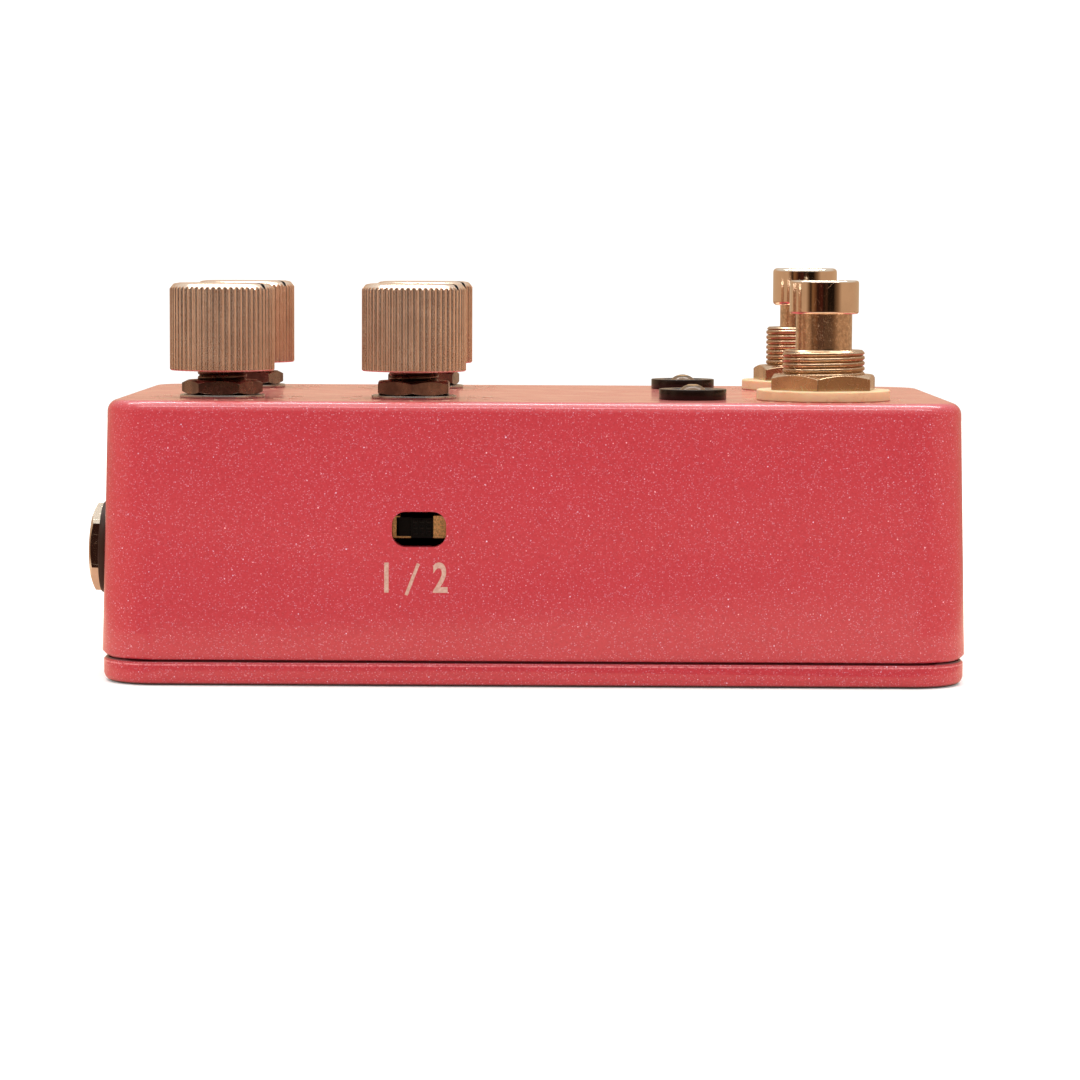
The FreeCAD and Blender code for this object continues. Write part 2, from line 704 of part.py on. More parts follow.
def make_pot_hardware():
    """A washer and a hexagon nut on each pot bushing."""
    nuts = []
    washers = []
    hole = "sizes.pot_bushing_radius + sizes.nut_clearance"
    for x, column, turn in KNOBS.values():
        disc = rod("0", "0", "0", "sizes.pot_washer_radius", "sizes.pot_washer_height")
        washer = cut_away(disc, rod("0", "0", "0", hole, "sizes.pot_washer_height"))
        washers.append(place(washer, x, COLUMNS[column], TOP))
        nut = hex_nut("sizes.pot_nut_flats", "sizes.pot_nut_height", hole)
        nuts.append(place(nut, x, COLUMNS[column], TOP + " + sizes.pot_washer_height", turn))
    group(washers, "pot_washers")
    group(nuts, "pot_nuts")


def make_lamp(name, column):
    """A domed lamp on two legs, in a snap-in bezel."""
    x, y = "sizes.lamp_x", COLUMNS[column]
    bezel = new_body(name + "_lamp_bezel")
    bore = "sizes.lamp_radius + sizes.bezel_clearance"
    low = "-sizes.bezel_sleeve_depth"
    sleeve = "sizes.bezel_sleeve_radius"
    rim = "sizes.bezel_radius"
    top = "sizes.bezel_height"
    turned(bezel, [(bore, low), (sleeve, low), (sleeve, "0"), (rim, "0"), (rim, top + " - sizes.bezel_bevel"),
                   (rim + " - sizes.bezel_bevel", top), (bore, top)])
    place(bezel, x, y, TOP)
    flange = "-sizes.bezel_sleeve_depth - sizes.lamp_flange_height"
    dome = document.addObject("Part::Sphere", "dome")
    dome.setExpression("Radius", "sizes.lamp_radius")
    place(dome, z="sizes.lamp_rise - sizes.lamp_radius")
    barrel = rod("0", "0", flange, "sizes.lamp_radius", "sizes.lamp_rise - sizes.lamp_radius - (%s)" % flange)
    foot = rod("0", "0", flange, "sizes.lamp_flange_radius", "sizes.lamp_flange_height")
    leg_end = "%s - sizes.pin_tail - %s" % (BOARD_BOTTOM, TOP)
    thick = "sizes.lamp_leg_side"
    legs = [block(side + "sizes.lamp_leg_offset", "0", leg_end, thick, thick, "%s - (%s)" % (flange, leg_end))
            for side in ("-", "")]
    lamp = keep(join([dome, barrel, foot] + legs), name + "_lamp")
    place(lamp, x, y, TOP)


def stomp_pin_spots(name):
    """Places of a stomp switch's lugs, about its own axis."""
    if name == "tap":
        return [("-sizes.pin_pitch", "0"), ("sizes.pin_pitch", "0")]
    steps = ("-sizes.pin_pitch", "0", "sizes.pin_pitch")
    return [(x, y) for x in steps for y in steps]


def make_stomp_switch(name, column):
    """A stomp switch: cap and stem, threaded bushing with yoke, spring and contact block."""
    size = "sizes." + name + "_"
    x, y = "sizes.stomp_x", COLUMNS[column]
    stem = size + "stem_radius"
    collar = "(%s + sizes.stomp_collar)" % stem
    collar_top = "(-sizes.case_wall + sizes.stomp_collar_height)"
    yoke = "(-sizes.case_wall - sizes.stomp_yoke)"
    bushing_top = size + "bushing_rise"
    cap_bottom = size + "cap_rise"
    cap_top = "%s + %scap_height" % (cap_bottom, size)
    well = "(%s + 2 * sizes.stomp_clearance)" % collar
    collar_bottom = "(%s + sizes.stomp_collar_gap)" % yoke
    button = new_body(name + "_button")
    rim = size + "cap_radius"
    bevel = size + "cap_bevel"
    turned(button, [("0", collar_bottom), (collar, collar_bottom), (collar, collar_top), (stem, collar_top),
                    (stem, cap_bottom), ("%s - %s" % (rim, bevel), cap_bottom),
                    (rim, "%s + %s" % (cap_bottom, bevel)), (rim, "%s - %s" % (cap_top, bevel)),
                    ("%s - %s" % (rim, bevel), cap_top), ("0", cap_top)])
    place(button, x, y, TOP)
    bushing = new_body(name + "_switch_bushing")
    guide = "%s + sizes.stomp_clearance" % stem
    lead = "sizes.stomp_bushing_lead"
    step = "%s + sizes.stomp_clearance" % collar_top
    outer = "sizes.stomp_bushing_radius"
    turned(bushing, [(well, yoke), (outer, yoke), (outer, "%s - %s" % (bushing_top, lead)),
                     ("%s - %s" % (outer, lead), bushing_top), (guide, bushing_top), (guide, step),
                     (well, step)])
    frame = rectangle("0", "0", size + "base_side", size + "base_side")
    pad(bushing, sketch_on(bushing, "XY_Plane", [frame, ("0", "0", well)], yoke), "sizes.stomp_yoke")
    place(bushing, x, y, TOP)
    base = new_body(name + "_switch_base")
    bottom = "%s - %sbase_height" % (yoke, size)
    spring_room = "%stravel + sizes.stomp_collar_height * 2" % size
    pad(base, sketch_on(base, "XY_Plane", [frame], yoke), size + "base_height", reverse=True)
    pocket(base, sketch_on(base, "XY_Plane", [("0", "0", well)], yoke), spring_room)
    board_face = "sizes.stomp_board_top - %s" % TOP
    board_pins(base, stomp_pin_spots(name), bottom, board_face)
    place(base, x, y, TOP)
    spring_start = "%s - (%s)" % (yoke, spring_room)
    spring_length = "%s - (%s)" % (collar_bottom, spring_start)
    sleeve = rod("0", "0", "0", collar, spring_length)
    inside = rod("0", "0", "0", "%s - sizes.spring_wall" % collar, spring_length)
    spring = keep(cut_away(sleeve, inside), name + "_return_spring")
    place(spring, x, y, "%s + %s" % (TOP, spring_start))


def make_stomp_hardware():
    """A plastic washer under a hexagon nut on each stomp switch bushing."""
    nuts = []
    washers = []
    hole = "sizes.stomp_bushing_radius + sizes.nut_clearance"
    for column, turn in STOMPS.values():
        disc = rod("0", "0", "0", "sizes.stomp_washer_radius", "sizes.stomp_washer_height")
        washer = cut_away(disc, rod("0", "0", "0", hole, "sizes.stomp_washer_height"))
        washers.append(place(washer, "sizes.stomp_x", COLUMNS[column], TOP))
        nut = hex_nut("sizes.stomp_nut_flats", "sizes.stomp_nut_height", hole)
        nuts.append(place(nut, "sizes.stomp_x", COLUMNS[column], TOP + " + sizes.stomp_washer_height", turn))
    group(washers, "stomp_washers")
    group(nuts, "stomp_nuts")


def jack_placement(item, column):
    """Stands a jack piece square on the drafted end wall, its own Z pointing out of the case."""
    item.Placement = FreeCAD.Placement(Vector(0, 0, 0), FreeCAD.Rotation(Vector(0, 1, 0), -90))
    return place(item, JACK_X, JACK_ROWS[column], "sizes.jack_z", "sizes.case_draft - 90")


def jack_pin_spots(column):
    """Board places of a jack's two contact tails, which lean with the drafted wall."""
    rise = "(%s - sizes.board_thickness / 2 - sizes.jack_z)" % BOARD_TOP
    spots = []
    for reach in ("sizes.tip_contact_reach", "sizes.sleeve_contact_reach"):
        back = "(%s - sizes.pin_thickness / 2)" % reach
        x = "%s + %s * cos(sizes.case_draft) + %s * sin(sizes.case_draft)" % (JACK_X, back, rise)
        spots.append((x, JACK_ROWS[column]))
    return spots


def make_jack(name, column):
    """A quarter inch jack: a moulded body with its bushing, and two contacts in a slot."""
    body = new_body(name + "_jack")
    inside = "-sizes.case_wall"
    case_block = rectangle("0", "0", "sizes.jack_body_height", "sizes.jack_body_width")
    pad(body, sketch_on(body, "XY_Plane", [case_block], inside), "sizes.jack_body_length", reverse=True)
    out = "(sizes.jack_washer_height + sizes.jack_nut_height + sizes.jack_bushing_end)"
    neck = ("0", "0", "sizes.jack_bushing_radius")
    pad(body, sketch_on(body, "XY_Plane", [neck], inside), "sizes.case_wall + %s" % out)
    bore = ("0", "0", "sizes.jack_bore_radius")
    depth = "%s + sizes.case_wall + sizes.jack_body_length - sizes.jack_rear_wall" % out
    pocket(body, sketch_on(body, "XY_Plane", [bore], out), depth)
    floor = "sizes.jack_bore_radius - sizes.contact_thickness"
    roof = "sizes.jack_body_height / 2"
    slots = []
    contacts = []
    for reach in ("sizes.tip_contact_reach", "sizes.sleeve_contact_reach"):
        low = "-" + reach
        high = "%s + sizes.contact_length" % low
        over_roof = roof + " + sizes.cut_margin"
        slots.append([(floor, low), (over_roof, low), (over_roof, high), (floor, high)])
        under = "sizes.jack_bore_radius + sizes.contact_offset"
        over = "%s + sizes.contact_thickness" % under
        inner = "%s + sizes.pin_thickness" % low
        tail = "(%s + sizes.pin_tail - sizes.jack_z) / cos(sizes.case_draft)" % BOARD_TOP
        blade = document.addObject("PartDesign::Body", "contact")
        outline = [(under, low), (tail, low), (tail, inner), (over, inner), (over, high), (under, high)]
        sketch = sketch_on(blade, "XZ_Plane", [outline], "-sizes.contact_width / 2")
        pad(blade, sketch, "sizes.contact_width")
        shave = "(sizes.contact_width - sizes.pin_width) / 2"
        end = "(%s + sizes.cut_margin)" % tail
        for side in ("-", ""):
            beside = "%s(sizes.contact_width - %s) / 2" % (side, shave)
            away = rectangle("(%s + %s) / 2" % (end, roof), beside, "%s - %s" % (end, roof), shave)
            pocket(blade, sketch_on(blade, "XY_Plane", [away]), reach + " + sizes.cut_margin")
        contacts.append(jack_placement(blade, column))
    cut = sketch_on(body, "XZ_Plane", slots, "-sizes.contact_width / 2")
    pocket(body, cut, "sizes.contact_width", reverse=True)
    jack_placement(body, column)
    group(contacts, name + "_jack_contacts")


def make_jack_hardware():
    """A bevelled washer and a hexagon nut outside the end wall on each jack."""
    nuts = []
    washers = []
    hole = "sizes.jack_bushing_radius + sizes.nut_clearance"
    for column, turn in JACKS.values():
        washer = document.addObject("PartDesign::Body", "jack_washer")
        rim = "sizes.jack_washer_radius"
        face = "sizes.jack_washer_height"
        turned(washer, [(hole, "0"), (rim, "0"), (rim, "sizes.jack_washer_height - sizes.jack_washer_bevel"),
                        (rim + " - sizes.jack_washer_bevel", face), (hole, face)])
        washers.append(jack_placement(washer, column))
        nut = hex_nut("sizes.jack_nut_flats", "sizes.jack_nut_height", hole)
        lean = FreeCAD.Rotation(Vector(0, 1, 0), number("sizes.case_draft") - 90)
        nut.Placement = FreeCAD.Placement(Vector(0, 0, 0), lean * FreeCAD.Rotation(Vector(0, 0, 1), turn))
        out = "sizes.jack_washer_height"
        place(nut, "%s - %s * cos(sizes.case_draft)" % (JACK_X, out), JACK_ROWS[column],
              "sizes.jack_z + %s * sin(sizes.case_draft)" % out)
        nuts.append(nut)
    group(washers, "jack_washers")
    group(nuts, "jack_nuts")


def make_power_socket():
    """The power socket under the board, its mouth behind a hole in the end wall."""
    rise = "(%s - sizes.jack_z)" % BOARD_BOTTOM
    front = "(%s + sizes.case_wall + %s * tan(sizes.case_draft) + sizes.dc_gap)" % (JACK_X, rise)
    body = new_body("power_socket")
    shell = [("0", "-sizes.dc_width / 2"), ("sizes.dc_length", "-sizes.dc_width / 2"),
             ("sizes.dc_length", "sizes.dc_width / 2"), ("0", "sizes.dc_width / 2")]
    bottom = "-sizes.dc_width / 2"
    pad(body, sketch_on(body, "XY_Plane", [shell], bottom), "%s + sizes.dc_width / 2" % rise)
    mouth = ("0", "0", "sizes.dc_bore_radius")
    pocket(body, sketch_on(body, "YZ_Plane", [mouth]), "sizes.dc_bore_depth", reverse=True)
    place(body, front, "0", "sizes.jack_z")
    pin = new_body("power_socket_pin")
    tip = "(sizes.dc_bore_depth - sizes.dc_pin_length)"
    post = ("0", "0", "sizes.dc_pin_radius")
    pad(pin, sketch_on(pin, "YZ_Plane", [post], tip), "sizes.dc_pin_length")
    place(pin, front, "0", "sizes.jack_z")


def slide_face():
    """How far the slide switch's front face lies from the middle of the case."""
    lean = "(sizes.slider_z - sizes.lid_height) * tan(sizes.case_draft)"
    return "(sizes.case_width / 2 - %s - sizes.case_wall - sizes.slide_frame_gap)" % lean


def slide_pin_spots():
    """Places of the slide switch's three pins, about the middle of its front face."""
    depth = "(sizes.slide_frame_depth + sizes.slide_pin_reach - sizes.pin_thickness / 2)"
    return [("-sizes.slide_pin_pitch", depth), ("0", depth), ("sizes.slide_pin_pitch", depth)]


def make_slide_switch():
    """The recessed slide switch: folded metal frame, contact base and the ridged slider."""
    spot = ("sizes.slider_x", "-" + slide_face(), "sizes.slider_z")
    half_height = "sizes.slide_frame_height / 2"
    inner_length = "sizes.slide_frame_length - 2 * sizes.slide_frame_wall"
    inner_height = "sizes.slide_frame_height - 2 * sizes.slide_frame_wall"
    frame = new_body("slide_switch_frame")
    outline = rectangle("0", "0", "sizes.slide_frame_length", "sizes.slide_frame_height")
    pad(frame, sketch_on(frame, "XZ_Plane", [outline]), "sizes.slide_frame_depth", reverse=True)
    hollow = rectangle("0", "0", inner_length, inner_height)
    back = "-sizes.slide_frame_wall"
    pocket(frame, sketch_on(frame, "XZ_Plane", [hollow], back), "sizes.slide_frame_depth")
    window = rectangle("0", "0", "sizes.slider_length + sizes.slider_travel + 2 * sizes.slider_play",
                       "sizes.slider_height + 2 * sizes.slider_play")
    pocket(frame, sketch_on(frame, "XZ_Plane", [window]), "sizes.slide_frame_wall")
    lug_x = "(sizes.slide_frame_length / 2 - sizes.slide_lug / 2)"
    lug_y = "sizes.slide_frame_depth - sizes.slide_lug"
    lugs = [rectangle(side + lug_x, lug_y, "sizes.slide_lug", "sizes.slide_lug") for side in ("", "-")]
    to_board = "%s - sizes.slider_z - %s" % (BOARD_BOTTOM, half_height)
    pad(frame, sketch_on(frame, "XY_Plane", lugs, half_height), to_board)
    place(frame, *spot)
    base = new_body("slide_switch_base")
    play = "sizes.slider_play"
    base_front = "(sizes.slide_frame_wall + sizes.slider_flange + 2 * %s)" % play
    filling = rectangle("0", "0", inner_length, inner_height)
    depth = "sizes.slide_frame_depth - %s" % base_front
    pad(base, sketch_on(base, "XZ_Plane", [filling], "-" + base_front), depth, reverse=True)
    arm_y = "sizes.slide_frame_depth + sizes.slide_pin_reach / 2"
    arms = [rectangle(x, arm_y, "sizes.pin_width", "sizes.slide_pin_reach") for x, _ in slide_pin_spots()]
    pad(base, sketch_on(base, "XY_Plane", arms), "sizes.pin_thickness")
    board_pins(base, slide_pin_spots(), "sizes.pin_thickness", "%s - sizes.slider_z" % BOARD_BOTTOM, False)
    place(base, *spot)
    slider = new_body("mode_slider")
    shift = "(sizes.slider_travel / 2)"
    knob = rectangle(shift, "0", "sizes.slider_length", "sizes.slider_height")
    reach = "sizes.slider_rise + sizes.slide_frame_wall + sizes.slider_flange + %s" % play
    pad(slider, sketch_on(slider, "XZ_Plane", [knob], "sizes.slider_rise"), reach, reverse=True)
    flange_length = "%s - sizes.slider_travel - 2 * %s" % (inner_length, play)
    flange = rectangle(shift, "0", flange_length, "%s - 2 * %s" % (inner_height, play))
    flange_face = "-sizes.slide_frame_wall - %s" % play
    pad(slider, sketch_on(slider, "XZ_Plane", [flange], flange_face), "sizes.slider_flange", reverse=True)
    place(slider, *spot)


def board_outline(size):
    """Corners of a board that lies evenly across the case."""
    back, front, side = size + "_back_x", size + "_front_x", size + "_half_width"
    return [(back, "-" + side), (front, "-" + side), (front, side), (back, side)]


def make_main_board():
    """The main board, hung from the pots, with a hole for every pin that comes through it."""
    body = new_body("main_board")
    outline = board_outline("sizes.board")
    pad(body, sketch_on(body, "XY_Plane", [outline], BOARD_BOTTOM), "sizes.board_thickness")
    spots = []
    for x, column, _ in KNOBS.values():
        side = "" if column == "left" else "-"
        for dx, dy in pot_pin_spots(side):
            spots.append(("%s + %s" % (x, dx), "%s + %s" % (COLUMNS[column], dy)))
    for column in COLUMNS:
        legs = ("sizes.lamp_x - sizes.lamp_leg_offset", "sizes.lamp_x + sizes.lamp_leg_offset")
        spots.extend((x, COLUMNS[column]) for x in legs)
    for dx, dy in slide_pin_spots():
        spots.append(("sizes.slider_x + %s" % dx, "%s - %s" % (dy, slide_face())))
    holes = pin_holes(spots)
    short_way = "sizes.pin_thickness + 2 * sizes.pin_clearance"
    long_way = "sizes.pin_width + 2 * sizes.pin_clearance"
    for column in COLUMNS:
        holes.extend(rectangle(x, y, short_way, long_way) for x, y in jack_pin_spots(column))
    pocket(body, sketch_on(body, "XY_Plane", holes, BOARD_TOP), "sizes.board_thickness")


def make_stomp_board():
    """The small board that the stomp switches' lugs are soldered to."""
    body = new_body("stomp_board")
    outline = board_outline("sizes.stomp_board")
    pad(body, sketch_on(body, "XY_Plane", [outline], STOMP_BOARD_BOTTOM), "sizes.board_thickness")
    spots = []
    for name, (column, _) in STOMPS.items():
        for dx, dy in stomp_pin_spots(name):
            spots.append(("sizes.stomp_x + %s" % dx, "%s + %s" % (COLUMNS[column], dy)))
    holes = sketch_on(body, "XY_Plane", pin_holes(spots), "sizes.stomp_board_top")
    pocket(body, holes, "sizes.board_thickness")


def make_ribbon():
    """The flat cable between the boards, bent into a U, and the header at each end."""
    size = ("sizes.header_width", "sizes.header_length", "sizes.header_height")
    start = "(%s - sizes.header_height)" % BOARD_BOTTOM
    end = "(%s - sizes.header_height)" % STOMP_BOARD_BOTTOM
    keep(block("sizes.header_x", "0", start, *size), "main_board_header")
    keep(block("sizes.stomp_header_x", "0", end, *size), "stomp_board_header")
    middle = "((sizes.header_x + sizes.stomp_header_x) / 2)"
    bend = "((sizes.stomp_header_x - sizes.header_x) / 2)"
    low = "(%s - sizes.ribbon_drop)" % end
    runs = []
    for x, top in (("sizes.header_x", start), ("sizes.stomp_header_x", end)):
        height = "%s - %s" % (top, low)
        runs.append(block(x, "0", low, "sizes.ribbon_thickness", "sizes.ribbon_width", height))
    halves = []
    for change in ("+", "-"):
        half = document.addObject("Part::Cylinder", "bend")
        half.Angle = 180.0
        half.setExpression("Radius", "%s %s sizes.ribbon_thickness / 2" % (bend, change))
        half.setExpression("Height", "sizes.ribbon_width")
        half.Placement = FreeCAD.Placement(Vector(0, 0, 0), FreeCAD.Rotation(Vector(1, 0, 0), 90))
        halves.append(half)
    turn_back = cut_away(*halves)
    turn_back.Placement = FreeCAD.Placement(Vector(0, 0, 0), FreeCAD.Rotation(Vector(0, 1, 0), 180))
    place(turn_back, middle, "sizes.ribbon_width / 2", low)
    keep(join(runs + [turn_back]), "ribbon_cable")


def under_board(x, y, kind):
    """A component standing on the underside of the main board."""
    height = "sizes.%s_height" % kind
    bottom = "%s - %s" % (BOARD_BOTTOM, height)
    if kind == "can":
        return rod(x, y, bottom, "sizes.can_radius", height)
    return block(x, y, bottom, "sizes.%s_length" % kind, "sizes.%s_width" % kind, height)


def make_components():
    """The parts that a delay circuit needs, on the side of the board that faces the lid."""
    middle, row = "sizes.component_x", "sizes.component_y"
    keep(under_board(middle, "0", "delay_chip"), "delay_chip")
    beside = "sizes.component_x - sizes.delay_chip_length - sizes.amplifier_length"
    ahead = "sizes.component_x + 2 * sizes.can_pitch"
    spots = [(beside, "-sizes.amplifier_width"), (beside, "sizes.amplifier_width"),
             (ahead, "sizes.amplifier_width / 2 - sizes.component_y")]
    group([under_board(x, y, "amplifier") for x, y in spots], "amplifier_chips")
    steps = ["%s + %s * sizes.film_pitch" % (middle, step) for step in (-2, -1, 0, 1)]
    group([under_board(x, row, "film") for x in steps], "film_capacitors")
    steps = ["%s + %s * sizes.can_pitch" % (middle, step) for step in (-1, 0, 1)]
    group([under_board(x, "-" + row, "can") for x in steps], "electrolytic_capacitors")
    behind = "sizes.front_knob_x - sizes.regulator_length"
    keep(under_board(behind, "0", "regulator"), "voltage_regulator")


def check_and_write():
    """Stops on any failed object or bad solid, and then writes one file for each sub-part."""
    document.recompute()
    for item in document.Objects:
        if "Invalid" in item.State or "Error" in item.State:
            raise ValueError("%s failed: %s" % (item.Label, item.State))
    for item in pieces:
        if item.Shape.isNull() or not item.Shape.isValid() or not item.Shape.Solids:
            raise ValueError("%s has no valid solid" % item.Label)
    for item in pieces:
        item.Shape.exportStep("parts/%s.step" % item.Label)
    print("%d sub-parts written" % len(pieces))


make_case()
make_lid()
make_lid_screws()
for knob, (knob_x, knob_column, _) in KNOBS.items():
    make_knob(knob, knob_x, COLUMNS[knob_column])
    make_shaft(knob, knob_x, COLUMNS[knob_column])
    make_grub_screw(knob, knob_x, COLUMNS[knob_column])
    make_pot(knob, knob_x, knob_column)
make_pot_hardware()
for lamp_name, lamp_column in LAMPS.items():
    make_lamp(lamp_name, lamp_column)
for stomp, (stomp_column, _) in STOMPS.items():
    make_stomp_switch(stomp, stomp_column)
make_stomp_hardware()
for jack, (jack_column, _) in JACKS.items():
    make_jack(jack, jack_column)
make_jack_hardware()
make_power_socket()
make_slide_switch()
make_main_board()
make_stomp_board()
make_ribbon()
make_components()
check_and_write()
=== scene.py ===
from math import atan2, cos, hypot, pi, radians, sin, sqrt, tan

import bmesh
import bpy
from mathutils import Matrix, Vector


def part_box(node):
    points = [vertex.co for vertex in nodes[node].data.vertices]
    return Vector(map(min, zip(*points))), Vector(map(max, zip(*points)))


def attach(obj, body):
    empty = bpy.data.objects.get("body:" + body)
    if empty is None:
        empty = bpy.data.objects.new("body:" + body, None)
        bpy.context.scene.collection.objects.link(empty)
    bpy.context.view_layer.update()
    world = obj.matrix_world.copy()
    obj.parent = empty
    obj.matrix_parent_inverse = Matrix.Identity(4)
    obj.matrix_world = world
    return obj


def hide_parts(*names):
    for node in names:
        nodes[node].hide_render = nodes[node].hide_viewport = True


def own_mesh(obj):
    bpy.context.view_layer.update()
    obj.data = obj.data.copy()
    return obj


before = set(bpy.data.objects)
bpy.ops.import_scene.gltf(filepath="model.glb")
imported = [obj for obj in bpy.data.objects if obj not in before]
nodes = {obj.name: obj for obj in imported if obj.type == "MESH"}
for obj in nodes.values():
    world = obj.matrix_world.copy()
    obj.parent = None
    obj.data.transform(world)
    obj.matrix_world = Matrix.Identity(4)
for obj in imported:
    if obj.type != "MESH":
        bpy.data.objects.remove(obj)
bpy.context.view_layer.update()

scene = bpy.context.scene
scene.view_settings.view_transform = "Standard"

# The camera stands half a metre in front of the long side, a little above the table, with a long
# lens. Its place was worked out from the photograph, down to tips and turns of part of a degree.
def add_object(name, data):
    """An object with the given data, put in the scene."""
    item = bpy.data.objects.new(name, data)
    scene.collection.objects.link(item)
    return item


camera_spot = Vector((0.00241, -0.5127, 0.0609))
camera_turn = radians(0.18)
camera_dip = radians(4.79)
camera_roll = radians(0.265)
photo_side = 1080
focal_pixels = 3465
camera_data = bpy.data.cameras.new("camera")
camera_data.sensor_width = 36
camera_data.lens = focal_pixels / photo_side * camera_data.sensor_width
camera_data.clip_start = 0.01
camera = add_object("camera", camera_data)
camera.matrix_world = (Matrix.Translation(camera_spot) @ Matrix.Rotation(camera_turn, 4, "Z")
                       @ Matrix.Rotation(pi / 2 - camera_dip, 4, "X")
                       @ Matrix.Rotation(camera_roll, 4, "Z"))
scene.camera = camera


# A plain white table and soft light: a large panel overhead, one over the viewer's shoulder and
# one to each side. The room mirrored in the metal is warm at eye level, with dark furniture behind
# the viewer, and white above. What shows behind the table is plain white.
def from_rgb(red, green, blue):
    """A colour given as it shows on a screen, from 0 to 255, as the shader takes it."""
    parts = [value / 255 for value in (red, green, blue)]
    return [part / 12.92 if part <= 0.04045 else ((part + 0.055) / 1.055) ** 2.4 for part in parts] + [1.0]


def add_node(tree, kind, inputs=(), **settings):
    """A shader node with its settings and inputs; an input is a value or another node's output."""
    node = tree.nodes.new(kind)
    for name, value in settings.items():
        setattr(node, name, value)
    for name, value in dict(inputs).items():
        if isinstance(value, bpy.types.NodeSocket):
            tree.links.new(value, node.inputs[name])
        else:
            node.inputs[name].default_value = value
    return node


def blend_colors(tree, share, low, high):
    """Mixes two colours by a share, and gives the mixed one."""
    return add_node(tree, "ShaderNodeMix", {0: share, 6: low, 7: high}, data_type="RGBA").outputs[2]


def remap(tree, value, low, high, start=0.0, end=1.0, smooth=False):
    """Maps a value that runs from low to high onto start to end."""
    inputs = {"Value": value, "From Min": low, "From Max": high, "To Min": start, "To Max": end}
    kind = "SMOOTHSTEP" if smooth else "LINEAR"
    return add_node(tree, "ShaderNodeMapRange", inputs, interpolation_type=kind).outputs["Result"]


def calculate(tree, operation, first, second=0.0):
    """One sum on values."""
    return add_node(tree, "ShaderNodeMath", {0: first, 1: second}, operation=operation).outputs[0]


table_radius = 0.75
table_gap = 0.00002
paper_white = (0.93, 0.93, 0.93, 1)
paper_glow = 0.2
shade_spot = (-0.09, -0.25, 0)
table_mesh = bpy.data.meshes.new("table")
table_shape = bmesh.new()
bmesh.ops.create_circle(table_shape, cap_ends=True, segments=128, radius=table_radius)
bmesh.ops.translate(table_shape, verts=table_shape.verts, vec=(0, 0, -table_gap))
table_shape.to_mesh(table_mesh)
table_shape.free()
table = add_object("table", table_mesh)
table_paper = bpy.data.materials.new("table_paper")
table_paper.use_nodes = True
paper_shader = table_paper.node_tree.nodes["Principled BSDF"]
tree = table_paper.node_tree
place = add_node(tree, "ShaderNodeTexCoord").outputs["Object"]
# In mirrors the table shows painted light and shade: pale near the case, tan further off, and a dark painted
# shadow in front of it on the viewer's side. The camera sees it plain white.
from_case = add_node(tree, "ShaderNodeVectorMath", {0: place}, operation="LENGTH").outputs["Value"]
from_shade = add_node(tree, "ShaderNodeVectorMath", {0: place, 1: shade_spot},
                      operation="DISTANCE").outputs["Value"]
far_tone = blend_colors(tree, remap(tree, from_case, 0.1, 0.2, smooth=True), from_rgb(236, 208, 182),
                        from_rgb(158, 118, 90))
mirror_tone = blend_colors(tree, remap(tree, from_shade, 0.17, 0.12, smooth=True), far_tone,
                           from_rgb(30, 20, 15))
mirrored = add_node(tree, "ShaderNodeLightPath").outputs["Is Glossy Ray"]
paper_tone = blend_colors(tree, mirrored, paper_white, mirror_tone)
tree.links.new(paper_tone, paper_shader.inputs["Base Color"])
paper_shader.inputs["Emission Color"].default_value = (1, 1, 1, 1)
glow = calculate(tree, "MULTIPLY", calculate(tree, "SUBTRACT", 1.0, mirrored), paper_glow)
tree.links.new(glow, paper_shader.inputs["Emission Strength"])
paper_shader.inputs["Roughness"].default_value = 0.9
paper_shader.inputs["Specular IOR Level"].default_value = 0.1
table_mesh.materials.append(table_paper)

room = bpy.data.worlds.new("room")
scene.world = room
room.use_nodes = True
room_tree = room.node_tree
room_tree.nodes.clear()
direction = add_node(room_tree, "ShaderNodeTexCoord").outputs["Generated"]
heading = add_node(room_tree, "ShaderNodeSeparateXYZ", {0: direction})
toward_viewer = calculate(room_tree, "MULTIPLY", heading.outputs["Y"], -1.0)
bearing = calculate(room_tree, "ARCTAN2", heading.outputs["X"], toward_viewer)
round_share = remap(room_tree, bearing, -pi, pi)
round_room = add_node(room_tree, "ShaderNodeValToRGB", {0: round_share})
far_wall = from_rgb(226, 194, 160)
side_wall = from_rgb(219, 178, 144)
ceiling = (0.95, 0.93, 0.9, 1)
backdrop = (1.3, 1.3, 1.3, 1)
room_strength = 0.85
# Colours round the room by bearing, in degrees: 0 lies behind the viewer and 90 to the right.
round_stops = [(-180, far_wall), (-105, side_wall), (-68, side_wall), (-56, from_rgb(128, 92, 66)),
               (-50, from_rgb(40, 26, 18)), (-43, from_rgb(150, 104, 68)), (-34, from_rgb(116, 72, 46)),
               (-27, from_rgb(50, 26, 18)), (-12, from_rgb(80, 34, 24)), (-6, from_rgb(34, 20, 14)),
               (3, from_rgb(72, 44, 30)), (9, from_rgb(30, 20, 14)), (27, from_rgb(34, 22, 15)),
               (42, from_rgb(140, 104, 76)), (56, side_wall), (105, side_wall), (180, far_wall)]
ramp = round_room.color_ramp
ramp.elements[1].position = 1.0
for number in range(len(round_stops) - 2):
    ramp.elements.new((number + 1) / len(round_stops))
for element, (angle, color) in zip(ramp.elements, round_stops):
    element.position = angle / 360 + 0.5
    element.color = color
height_share = remap(room_tree, heading.outputs["Z"], 0.18, 0.62, smooth=True)
room_color = blend_colors(room_tree, height_share, round_room.outputs["Color"], ceiling)
seen = add_node(room_tree, "ShaderNodeLightPath").outputs["Is Camera Ray"]
shown_color = blend_colors(room_tree, seen, room_color, backdrop)
room_light = add_node(room_tree, "ShaderNodeBackground", {"Color": shown_color, "Strength": room_strength})
add_node(room_tree, "ShaderNodeOutputWorld", {"Surface": room_light.outputs[0]})


